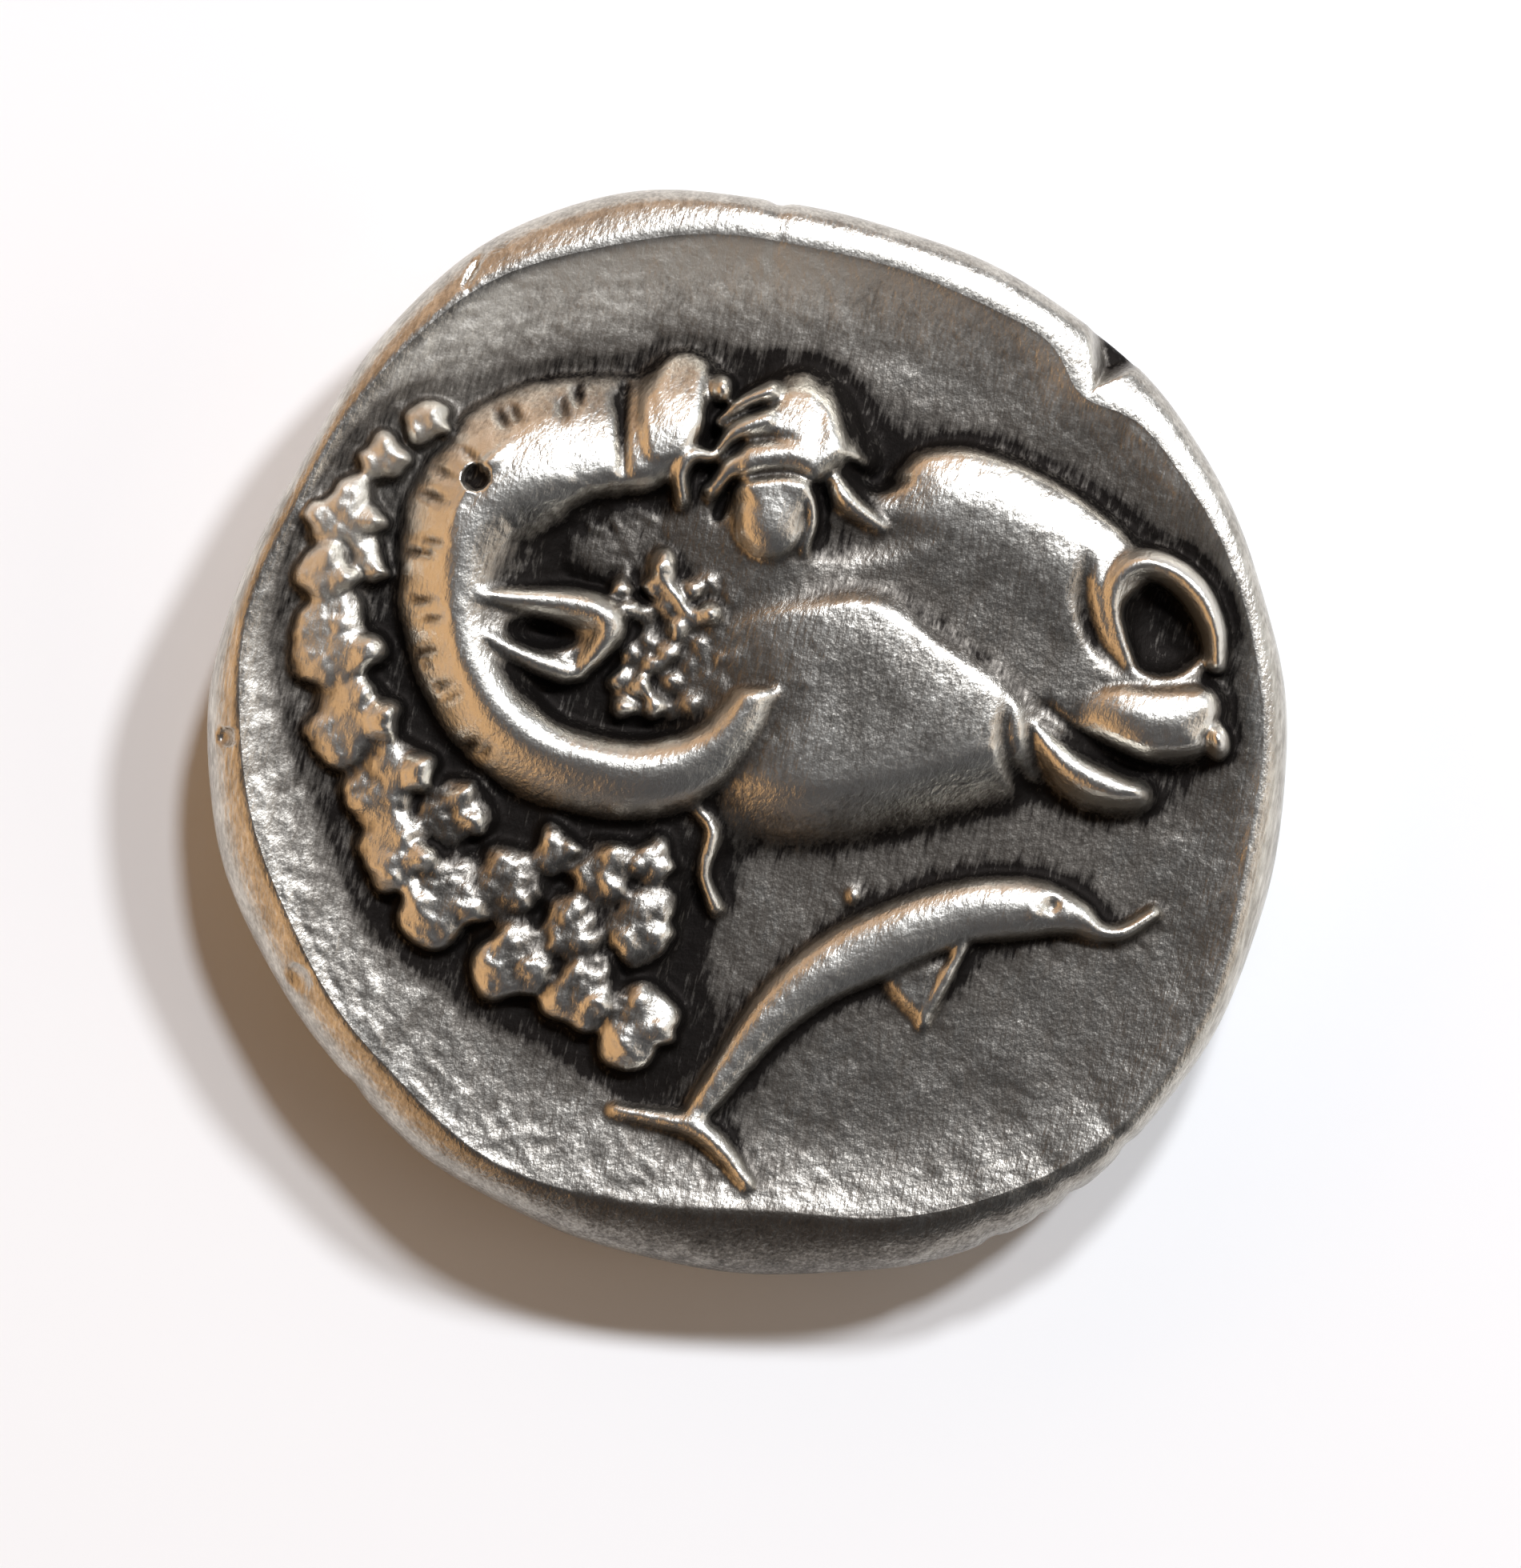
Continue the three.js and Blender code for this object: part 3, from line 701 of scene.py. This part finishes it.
def nick_reach(angle):
    """How far in the nicks of the edge reach in each direction."""
    return sum(reach * np.exp(-(from_direction(angle, direction) / width) ** 2)
               for direction, width, reach in NICKS)


def crest_radius(angle):
    """Radius of the lip's crest in each direction."""
    wander = 0.35 * np.sin(9 * angle + 0.5) + 0.25 * np.sin(15 * angle + 2)
    off_notch = from_direction(angle, NOTCH_DIRECTION) / NOTCH_SPREAD
    return ring_radius(CREST, angle) + wander - NOTCH_PULL * np.exp(-off_notch ** 2)


def edge_radius(angle):
    """Radius of the widest line of the edge in each direction."""
    radius = ring_radius(OUTLINE, angle)
    radius = radius + 0.2 * np.sin(11 * angle + 1) + 0.15 * np.sin(19 * angle)
    return radius - nick_reach(angle)


def crest_height(angle):
    """Height of the lip's crest over the table in each direction."""
    risen_lip = LIP_RISE * lip(angle, LIP_HEIGHT)
    return FIELD_HEIGHT + risen_lip - NICK_DROP * UNIT * nick_reach(angle)


def notch_cut(x, y):
    """How deep the notch in the rim cuts, in metres."""
    dx, dy = x - NOTCH_APEX[0], y - NOTCH_APEX[1]
    ahead = dx * math.cos(NOTCH_AXIS) + dy * math.sin(NOTCH_AXIS)
    across = np.abs(dy * math.cos(NOTCH_AXIS) - dx * math.sin(NOTCH_AXIS))
    inside = ahead * math.sin(NOTCH_HALF_ANGLE) - across * math.cos(NOTCH_HALF_ANGLE)
    return NOTCH_DEPTH * np.clip(inside / NOTCH_WALL, 0, 1)


def notched(height, x, y):
    """Cuts the notch into a height. Over the widest line of the edge it leaves a share."""
    floor = WIDEST_HEIGHT + NOTCH_FLOOR * (height - WIDEST_HEIGHT)
    return np.maximum(height - notch_cut(x, y), np.minimum(height, floor))


def marks(x, y):
    """Depth of the marks of age, as a share of the relief's rise."""
    return sum(mark(x, y) for mark in MARKS)


# The carving is worked out once on a grid, softened as a struck face is, and given a fine
# unevenness. Heights between its points follow a smooth curve.
GRID_STEP = 0.4
GRID_REACH = 106
GRID_LINE = np.arange(-GRID_REACH, GRID_REACH + GRID_STEP / 2, GRID_STEP)
STRIKE_SOFTNESS = 0.55

# Unevenness of the struck face: its height, and the radius of its grains. The fine one is
# rougher on the slope up to the rim, left and below, and on the wool, which is found where
# its forms stand higher than a share of the relief.
FINE_HEIGHT, FINE_GRAIN = 0.016, 0.55
BROAD_HEIGHT, BROAD_GRAIN = 0.05, 2.6
ROUGHER_SLOPE = 0.7
ROUGHER_WOOL = 1.8
WOOL_FOUND = 0.2


def blurred(grid, radius):
    """A grid blurred over a radius in carving units."""
    reach = round(3 * radius / GRID_STEP)
    span = np.arange(-reach, reach + 1) * GRID_STEP
    kernel = np.exp(-span ** 2 / (2 * radius ** 2))
    kernel /= kernel.sum()
    for axis in (0, 1):
        grid = np.apply_along_axis(np.convolve, axis, grid, kernel, "same")
    return grid


def area_of(forms, x, y):
    """1 where any of the forms stands, 0 elsewhere, with a soft edge."""
    standing = np.maximum.reduce([form(x, y) for form in forms]) > WOOL_FOUND
    return blurred(standing.astype(float), 0.8)


def carved_grid():
    """The struck carving on the grid, as a share of the relief's rise."""
    x, y = np.meshgrid(GRID_LINE, GRID_LINE, indexing="ij")
    woolly = area_of(fleece() + wool() + [SHORT_WOOL], x, y)
    outer = ROUGHER_SLOPE * smooth((np.hypot(x, y) - 66) / 12) * smooth((-x + 40) / 60)
    rougher = 1 + outer + ROUGHER_WOOL * woolly
    fine = np.random.default_rng(5).normal(size=x.shape)
    broad = np.random.default_rng(8).normal(size=x.shape)
    grains = FINE_HEIGHT * rougher * blurred(fine, FINE_GRAIN)
    struck_forms = blurred(carving(x, y), STRIKE_SOFTNESS)
    return struck_forms + grains + BROAD_HEIGHT * blurred(broad, BROAD_GRAIN)


def sampled(grid, x, y):
    """Heights of a grid at any places, along cubic curves through its points."""
    gx = np.clip((x + GRID_REACH) / GRID_STEP, 1, len(GRID_LINE) - 3)
    gy = np.clip((y + GRID_REACH) / GRID_STEP, 1, len(GRID_LINE) - 3)
    i, j = gx.astype(int), gy.astype(int)

    def weights(t):
        return (t * (-0.5 + t * (1 - 0.5 * t)), 1 + t * t * (1.5 * t - 2.5),
                t * (0.5 + t * (2 - 1.5 * t)), t * t * (0.5 * t - 0.5))

    wx, wy = weights(gx - i), weights(gy - j)
    return sum(wx[a] * wy[b] * grid[i + a - 1, j + b - 1] for a in range(4) for b in range(4))


CARVED = carved_grid()

# Just inside the crest the carving runs out over this share of the way.
CREST_BAND = 0.02


def face_height(x, y, reach):
    """Height of the face over the table; reach is 0 in the middle and 1 on the lip's crest,
    where the carving has run out."""
    angle = np.arctan2(y, x)
    start = lip(angle, DISH_START)
    dish = np.clip((reach - start) / (1 - start), 0, 1) ** DISH_POWER
    rise = crest_height(angle) - FIELD_HEIGHT
    forms = sampled(CARVED, x, y) * smooth((1 - reach) / CREST_BAND)
    carved = RELIEF_RISE * (forms - marks(x, y))
    return notched(FIELD_HEIGHT + rise * dish + carved, x, y)


def punched_depth(x, y):
    """Depth of the quartered square in the back, for places in metres."""
    cos, sin = math.cos(INCUSE_TURN), math.sin(INCUSE_TURN)
    u = np.abs(x * cos + y * sin)
    v = np.abs(y * cos - x * sin)
    inner = INCUSE_BAR / 2
    outer = INCUSE_SIDE / 2
    inside = np.minimum(np.minimum(u - inner, v - inner), np.minimum(outer - u, outer - v))
    return INCUSE_DEPTH * smooth(inside / INCUSE_DRAFT)


# The blank, how near a ring of it a point counts as on it, and the height over the widest
# line in which the marks of age fade.
BLANK_SIDES = 96
WALL_BANDS = 4
ON_RING = 1e-6
MARK_FADE = 0.4 * MM


def struck(drum):
    """Real places of points of the blank, which is a drum of radius 1. Its top is the face
    inside the lip's crest, and its wall, WALL_BANDS high, is the rounded edge."""
    angle = np.arctan2(drum[:, 1], drum[:, 0])
    reach = np.hypot(drum[:, 0], drum[:, 1])
    station = -drum[:, 2] / WALL_BANDS
    crest = crest_radius(angle)
    edge = edge_radius(angle)
    radius = reach * crest
    height = np.zeros(radius.shape)

    top = station < ON_RING
    tx, ty = (radius * np.cos(angle))[top], (radius * np.sin(angle))[top]
    height[top] = face_height(tx, ty, reach[top])

    # From the crest the edge slopes out as a bevel and turns down to its widest line.
    upper = (station > ON_RING) & (station <= 0.5)
    turn = station[upper] * np.pi
    power = 2 / lip(angle[upper], EDGE_SQUARENESS)
    share = np.sin(turn) ** power
    fall = 1 - np.maximum(np.cos(turn), 0) ** power
    width = (edge - crest)[upper]
    slope = lip(angle[upper], BEVEL_SLOPE)
    bevel = slope * width * share * UNIT
    drop = crest_height(angle[upper]) - WIDEST_HEIGHT - slope * width * UNIT
    radius[upper] = crest[upper] + width * share
    wall_height = WIDEST_HEIGHT + drop * (1 - fall) + slope * width * UNIT - bevel
    wx = radius[upper] * np.cos(angle[upper])
    wy = radius[upper] * np.sin(angle[upper])
    faded = smooth((wall_height - WIDEST_HEIGHT) / MARK_FADE)
    wall_height = wall_height - RELIEF_RISE * marks(wx, wy) * faded
    height[upper] = notched(wall_height, wx, wy)

    # Below it the edge rounds in to the land that the coin lies on.
    lower = (station > 0.5) & (station < 1 - ON_RING)
    turn = (station[lower] - 0.5) * np.pi
    radius[lower] = edge[lower] - UNDER_ROUNDING / UNIT * (1 - np.cos(turn))
    height[lower] = WIDEST_HEIGHT * (1 - np.sin(turn))

    under = station >= 1 - ON_RING
    radius[under] = reach[under] * (edge[under] - UNDER_ROUNDING / UNIT)
    x = radius * np.cos(angle) * UNIT
    y = radius * np.sin(angle) * UNIT
    height[under] = punched_depth(x[under], y[under])
    return np.stack([x, y, height], axis=1)


def corners_and_middles(mesh):
    """Every vertex of a mesh, the corners of its faces with four sides, and those faces."""
    co = np.zeros(len(mesh.vertices) * 3)
    mesh.vertices.foreach_get("co", co)
    start = np.zeros(len(mesh.polygons), int)
    total = np.zeros(len(mesh.polygons), int)
    mesh.polygons.foreach_get("loop_start", start)
    mesh.polygons.foreach_get("loop_total", total)
    corner = np.zeros(len(mesh.loops), int)
    mesh.loops.foreach_get("vertex_index", corner)
    fours = np.flatnonzero(total == 4)
    return co.reshape(-1, 3), corner[start[fours][:, None] + np.arange(4)], fours


# How much further off the wall and the underside may stay, by depth under the top.
PLAINER_DEPTHS = (0, 0.2, WALL_BANDS)
PLAINER_BY = (1, 3, 3.5)


def refine(blank, bend):
    """Cuts up the faces that would stay further than bend from the struck shape, and those
    next to them."""
    mesh = blank.data
    drum, corners, fours = corners_and_middles(mesh)
    middles = drum[corners].mean(axis=1)
    off = np.linalg.norm(struck(middles) - struck(drum)[corners].mean(axis=1), axis=1)
    bent = off > bend * np.interp(-middles[:, 2], PLAINER_DEPTHS, PLAINER_BY)
    touched = np.zeros(len(drum), bool)
    touched[corners[bent].ravel()] = True
    wanted = np.zeros(len(mesh.polygons), bool)
    wanted[fours] = touched[corners].any(axis=1)
    bpy.ops.object.mode_set(mode="EDIT")
    bpy.ops.mesh.select_all(action="DESELECT")
    bpy.ops.object.mode_set(mode="OBJECT")
    mesh.polygons.foreach_set("select", wanted)
    mesh.update()
    bpy.ops.object.mode_set(mode="EDIT")
    bpy.ops.mesh.subdivide(number_cuts=1)
    bpy.ops.object.mode_set(mode="OBJECT")


def cast_blank():
    """The drum before striking: a grid on top and below, and bands round the wall."""
    bpy.ops.object.select_all(action="DESELECT")
    bpy.ops.mesh.primitive_circle_add(vertices=BLANK_SIDES, radius=1, fill_type="NOTHING")
    blank = bpy.context.object
    blank.name = "stater"
    bpy.ops.object.mode_set(mode="EDIT")
    bpy.ops.mesh.select_all(action="SELECT")
    bpy.ops.mesh.fill_grid(span=BLANK_SIDES // 4)
    bpy.ops.mesh.select_mode(type="FACE")
    for _ in range(WALL_BANDS):
        bpy.ops.mesh.extrude_region_move(TRANSFORM_OT_translate={"value": (0, 0, -1)})
    bpy.ops.mesh.select_all(action="SELECT")
    bpy.ops.mesh.normals_make_consistent(inside=False)
    bpy.ops.mesh.subdivide(number_cuts=2)
    bpy.ops.object.mode_set(mode="OBJECT")
    return blank


# How far each round of cutting lets the mesh stay off the struck shape.
BENDS = [0.006 * MM, 0.0145 * MM, 0.026 * MM]


def strike():
    """The coin: a blank cut finely enough for its carving, and then given the struck shape,
    centred on the solid."""
    blank = cast_blank()
    for bend in BENDS:
        refine(blank, bend)
    mesh = blank.data
    placed = struck(corners_and_middles(mesh)[0])
    low, high = placed.min(0), placed.max(0)
    cad_low, cad_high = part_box("coin")
    placed[:, :2] += (np.array(cad_low) + np.array(cad_high) - low - high)[:2] / 2
    mesh.vertices.foreach_set("co", placed.ravel())
    mesh.update()
    bpy.ops.object.mode_set(mode="EDIT")
    bpy.ops.mesh.select_all(action="SELECT")
    bpy.ops.mesh.quads_convert_to_tris()
    bpy.ops.mesh.normals_make_consistent(inside=False)
    bpy.ops.object.mode_set(mode="OBJECT")
    bpy.ops.object.shade_smooth()
    return blank


# Wear follows how far a place stands over its surroundings, blurred over three radii. It
# counts fully over the first two, and by a share over the broad one.
PATINA_BLUR = 3.0
CLOSE_BLUR = 1
BROAD_BLUR = 9
BROAD_SHARE = 0.5

# Dirt takes this off: in nicks and marks, on the ground round the fleece and over the
# horn, on its inner locks as a share of that, and in the punched square.
SOOT = 2.6
SOOT_BLUR = 0.4
DIRT = 2.6
DIRT_BLUR = 5.5
DIRT_SPREAD = 0.3
LOCK_DIRT = 0.4
HOLLOW_DIRT = 1.4
DEEP_MARK = 0.08

# The rim is handled bright, but for a stretch at the bottom that is painted dark, a painted
# shade where its rounded edge turns away from the lamps: direction and width.
RIM_WEAR = 0.9
RIM_PAINTED_SHADE = 1.9
DARK_RIM = 272
DARK_RIM_WIDTH = 34
NOTCH_DIRT = 0.4

# How matt the slope up to the rim is, by direction in degrees. The same share also paints
# that slope lighter, a painted light that is strongest at the top and left.
RIM_SLOPE_MATT_AND_LIGHT = np.array([
    (0, 0), (60, 0.4), (85, 1), (125, 1), (160, 0.6), (190, 0.3), (230, 0.15), (262, 0.1),
    (300, 0),
])


def dirt_cover(x, y):
    """Where dirt lies on the grid: on the ground round the fleece and over the horn, and on
    the inner locks."""
    locks = area_of(fleece(), x, y)
    horned = blurred((horn(x, y) > 0.02).astype(float), 0.4)
    raised = smooth((CARVED - 0.3) / 0.3)
    top = raised * smooth((y - 40) / 12) * smooth((34 - x) / 30)
    round_fleece = smooth(blurred(locks, DIRT_BLUR) / DIRT_SPREAD) * (1 - raised)
    over_horn = smooth(blurred(top, DIRT_BLUR) / DIRT_SPREAD)
    over_horn = over_horn * (1 - smooth((CARVED - 0.08) / 0.16))
    dirt = np.maximum(round_fleece, over_horn) * (1 - np.maximum(locks, horned))
    return dirt + LOCK_DIRT * locks * smooth((x + 62) / 16)


def stand_over(coin):
    """Stores how far each vertex stands over its surroundings, in carving units and less
    what its dirt takes off, with painted shade on the bottom of the rim, and how matt it is,
    which also paints the slope up to the rim lighter as painted light."""
    gx, gy = np.meshgrid(GRID_LINE, GRID_LINE, indexing="ij")
    reach = np.hypot(gx, gy) / crest_radius(np.arctan2(gy, gx))
    surface = face_height(gx, gy, np.minimum(reach, 1)) / UNIT
    around, close, broad = (
        blurred(surface, radius) for radius in (PATINA_BLUR, CLOSE_BLUR, BROAD_BLUR))
    cuts = np.maximum(nick_soot(gx, gy), np.minimum(marks(gx, gy) / DEEP_MARK, 1))
    soot = blurred(cuts, SOOT_BLUR)
    dirt = dirt_cover(gx, gy)

    co = np.zeros(len(coin.data.vertices) * 3)
    coin.data.vertices.foreach_get("co", co)
    x, y, z = co.reshape(-1, 3).T / UNIT
    angle = np.arctan2(y, x)
    reach = np.hypot(x, y) / crest_radius(angle)
    on_wall = smooth((reach - 0.975) / 0.03)
    # Painted shade: the rim is darkened over a stretch round the bottom.
    dark = RIM_PAINTED_SHADE * np.exp(-(from_direction(angle, DARK_RIM) / DARK_RIM_WIDTH) ** 2)
    rim = RIM_WEAR - dark - NOTCH_DIRT * notch_cut(x, y) / UNIT
    over = (2 + BROAD_SHARE) * z - sampled(around, x, y) - sampled(close, x, y)
    over = over - BROAD_SHARE * sampled(broad, x, y)
    over = over - SOOT * sampled(soot, x, y) - DIRT * sampled(dirt, x, y)
    over = over * (1 - on_wall) + rim * on_wall

    # Below the widest line the wear of the rim fades, and only the punched square is dark.
    hollow = (1 - on_wall) * smooth(z * UNIT / INCUSE_DEPTH)
    below = z * UNIT < WIDEST_HEIGHT
    lower_edge = rim * on_wall * smooth(z * UNIT / WIDEST_HEIGHT)
    over[below] = (lower_edge - HOLLOW_DIRT * hollow)[below]
    near_rim = smooth((reach - 0.7) / 0.2) * (1 - on_wall)
    # The matt share is also painted light: it makes the slope up to the rim lighter in colour,
    # most at the top and left.
    matt = np.interp(np.degrees(angle) % 360, RIM_SLOPE_MATT_AND_LIGHT[:, 0], RIM_SLOPE_MATT_AND_LIGHT[:, 1], period=360)
    frost_and_light = np.where(below, 0, near_rim) * matt
    for name, values in (("stands_over", over), ("frosted_and_lit", frost_and_light)):
        layer = coin.data.attributes.new(name, "FLOAT", "POINT")
        layer.data.foreach_set("value", values.astype(np.float32))


# Silver

def linear(code):
    """An sRGB hex colour as linear red, green, blue and alpha."""
    shares = [int(code[i:i + 2], 16) / 255 for i in (1, 3, 5)]
    return [s / 12.92 if s <= 0.04045 else ((s + 0.055) / 1.055) ** 2.4 for s in shares] + [1]


def add_node(tree, kind, inputs=None, **settings):
    """Adds a node; an input is a value, or the socket that it is linked to."""
    node = tree.nodes.new(kind)
    for name, value in settings.items():
        setattr(node, name, value)
    for name, value in (inputs or {}).items():
        if isinstance(value, bpy.types.NodeSocket):
            tree.links.new(value, node.inputs[name])
        else:
            node.inputs[name].default_value = value
    return node


# Grains in millimetres across and along, their turn in degrees and the noise's detail. Real
# hairlines and pits of wear are about a hundredth of a millimetre wide, too fine to show,
# so the streaks and pits are drawn several times coarser. The blotches are as patina has.
BLOTCHES = (0.5, 0.9, 15, 4.0)
STREAKS = (0.07, 0.45, 14, 3.0)
PITS = (0.12, 0.16, 40, 2.0)

# How far a place stands over its surroundings where patina is darkest and where it is worn
# off, and how much the patterns and the matt slope change that; the matt slope's share is
# painted light, which makes that slope lighter.
DARKEST = -2.6
BRIGHTEST = 2.8
BLOTCH_SHARE = 0.5
STREAK_SHARE = 0.55
FROST_PAINTED_LIGHT = 0.35
FROST_ROUGHNESS = 0.22

# The wear and the roughness where the metal is roughest and where it is smoothest, and how
# strongly the streaks and pits catch the light, with how deep they are.
ROUGHEST = (0.02, 0.68)
SMOOTHEST = (0.46, 0.36)
STREAK_RELIEF = (0.7, 0.016 * MM)
PIT_RELIEF = (0.9, 0.018 * MM)

# From soot in the recesses to bright metal. The two ends come first.
PATINA = [(0.05, "#24211f"), (0.8, "#e2ded4"), (0.32, "#716c65"), (0.55, "#aaa59c")]


def grain(tree, across, along, turn, detail):
    """Noise whose grains are across by along millimetres, leaning by turn degrees."""
    place = add_node(tree, "ShaderNodeTexCoord").outputs["Object"]
    leaned = add_node(tree, "ShaderNodeVectorRotate", {
        "Vector": place, "Angle": math.radians(turn),
    }, rotation_type="Z_AXIS").outputs["Vector"]
    per_grain = (1 / (across * MM), 1 / (along * MM), 1 / (across * MM))
    scaled = add_node(tree, "ShaderNodeVectorMath", {
        0: leaned, 1: per_grain,
    }, operation="MULTIPLY").outputs["Vector"]
    return add_node(tree, "ShaderNodeTexNoise", {
        "Vector": scaled, "Scale": 1.0, "Detail": detail, "Roughness": 0.6,
    }).outputs["Fac"]


def worn_silver():
    """Old struck silver: polished by wear where it stands out, with dark patina left in the
    recesses. The eye reads bright streaky high points against sooty hollows."""
    material = bpy.data.materials.new("worn_silver")
    material.use_nodes = True
    tree = material.node_tree
    tree.nodes.clear()

    # How far a place stands over its surroundings also carries the painted shade on the bottom of
    # the rim.
    over = add_node(tree, "ShaderNodeAttribute", attribute_name="stands_over").outputs["Fac"]
    frosted_and_lit = add_node(tree, "ShaderNodeAttribute", attribute_name="frosted_and_lit").outputs["Fac"]
    streaks = grain(tree, *STREAKS)
    worn = add_node(tree, "ShaderNodeMapRange", {
        "Value": over, "From Min": DARKEST, "From Max": BRIGHTEST,
    }).outputs["Result"]
    for pattern, share in ((grain(tree, *BLOTCHES), BLOTCH_SHARE), (streaks, STREAK_SHARE)):
        patchy = add_node(tree, "ShaderNodeMath", {
            0: pattern, 1: 0.5,
        }, operation="SUBTRACT").outputs["Value"]
        worn = add_node(tree, "ShaderNodeMath", {
            0: patchy, 1: share, 2: worn,
        }, operation="MULTIPLY_ADD").outputs["Value"]
    # Painted light: the matt slope up to the rim is made lighter in colour.
    worn = add_node(tree, "ShaderNodeMath", {
        0: frosted_and_lit, 1: FROST_PAINTED_LIGHT, 2: worn,
    }, operation="MULTIPLY_ADD").outputs["Value"]

    patina = add_node(tree, "ShaderNodeValToRGB", {"Fac": worn})
    stops = patina.color_ramp.elements
    for k, (place, code) in enumerate(PATINA):
        stop = stops[k] if k < 2 else stops.new(place)
        stop.position = place
        stop.color = linear(code)

    roughness = add_node(tree, "ShaderNodeMapRange", {
        "Value": worn, "From Min": ROUGHEST[0], "From Max": SMOOTHEST[0],
        "To Min": ROUGHEST[1], "To Max": SMOOTHEST[1],
    }).outputs["Result"]
    roughness = add_node(tree, "ShaderNodeMath", {
        0: frosted_and_lit, 1: FROST_ROUGHNESS, 2: roughness,
    }, operation="MULTIPLY_ADD").outputs["Value"]
    streaked = add_node(tree, "ShaderNodeBump", {
        "Height": streaks, "Strength": STREAK_RELIEF[0], "Distance": STREAK_RELIEF[1],
    }).outputs["Normal"]
    pitted = add_node(tree, "ShaderNodeBump", {
        "Height": grain(tree, *PITS), "Strength": PIT_RELIEF[0], "Distance": PIT_RELIEF[1],
        "Normal": streaked,
    }).outputs["Normal"]
    shader = add_node(tree, "ShaderNodeBsdfPrincipled", {
        "Base Color": patina.outputs["Color"], "Metallic": 1.0, "Roughness": roughness,
        "Normal": pitted,
    })
    add_node(tree, "ShaderNodeOutputMaterial", {"Surface": shader.outputs["BSDF"]})
    return material


def pale_paper():
    """Plain matt paper, which shows the coin's shadow and throws soft light back at it."""
    material = bpy.data.materials.new("pale_paper")
    material.use_nodes = True
    shader = material.node_tree.nodes["Principled BSDF"]
    shader.inputs["Base Color"].default_value = linear("#f7f7f6")
    shader.inputs["Roughness"].default_value = 0.8
    return material


# The coin

coin = strike()
stand_over(coin)
coin.data.materials.append(worn_silver())
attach(coin, "root")
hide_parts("coin")

# Floor, light and camera

bpy.ops.object.select_all(action="DESELECT")
bpy.ops.mesh.primitive_plane_add(size=0.6)
paper = bpy.context.object
paper.name = "paper"
paper.data.materials.append(pale_paper())


def lamp(name, zenith, azimuth, distance, size, energy, colour):
    """An area lamp that looks at the coin, from a zenith angle and an azimuth in degrees."""
    data = bpy.data.lights.new(name, "AREA")
    data.shape = "DISK"
    data.size = size
    data.energy = energy
    data.color = linear(colour)[:3]
    made = bpy.data.objects.new(name, data)
    bpy.context.scene.collection.objects.link(made)
    tilt, turn = math.radians(zenith), math.radians(azimuth)
    made.location = (
        distance * math.sin(tilt) * math.cos(turn),
        distance * math.sin(tilt) * math.sin(turn),
        distance * math.cos(tilt),
    )
    made.rotation_euler = (0, tilt, turn)
    return made


def card(name, zenith, azimuth, distance, width, height, radiance, colour):
    """A soft panel that faces the coin, as bright as a lit sheet of that radiance."""
    made = lamp(name, zenith, azimuth, distance, width, 1.0, colour)
    made.data.shape = "RECTANGLE"
    made.data.size = height
    made.data.size_y = width
    made.data.energy = radiance * math.pi * width * height


# Two small lamps up to the right throw the two shadows of the picture. Flat metal mirrors
# the dark overhead, and slopes mirror the soft cards round it: warm ones on the left, a
# white one low on the right, and two small pale ones higher up on the right.
lamp("lamp_upper", 36, 70, 0.5, 0.06, 1.35, "#f3f7ff")
lamp("lamp_right", 43, 42, 0.5, 0.06, 1.6, "#f3f7ff")
card("card_warm", 68, 195, 0.4, 0.7, 0.3, 1.0, "#f4bf80")
card("card_warm_top", 68, 114, 0.4, 0.5, 0.3, 0.8, "#f0bd88")
card("card_white", 75, -5, 0.4, 0.5, 0.2, 1.0, "#ffffff")
card("card_right", 33, 8, 0.5, 0.18, 0.14, 0.42, "#ffe2c2")
card("card_low_right", 54, -14, 0.45, 0.2, 0.14, 1.3, "#ffe9d2")

world = bpy.data.worlds.new("studio")
bpy.context.scene.world = world
world.use_nodes = True
background = world.node_tree.nodes["Background"]
background.inputs["Color"].default_value = linear("#383c43")
background.inputs["Strength"].default_value = 1.0

# The picture's width and height in pixels, the middle of the face in it, and the real size
# of a pixel: a carving unit is 6.76 of them.
PICTURE = (1901, 1960)
FACE_MIDDLE = (934, 917)
PIXEL = UNIT / 6.76
CAMERA_HEIGHT = 0.16
SENSOR = 24

camera_data = bpy.data.cameras.new("camera")
camera = bpy.data.objects.new("camera", camera_data)
bpy.context.scene.collection.objects.link(camera)
bpy.context.scene.camera = camera
camera_data.sensor_fit = "VERTICAL"
camera_data.sensor_height = SENSOR
camera_data.lens = SENSOR * (CAMERA_HEIGHT - WIDEST_HEIGHT) / (PICTURE[1] * PIXEL)
camera_data.clip_start = 0.01
camera.location = (
    (PICTURE[0] / 2 - FACE_MIDDLE[0]) * PIXEL,
    (FACE_MIDDLE[1] - PICTURE[1] / 2) * PIXEL,
    CAMERA_HEIGHT,
)

bpy.context.scene.view_settings.view_transform = "Standard"
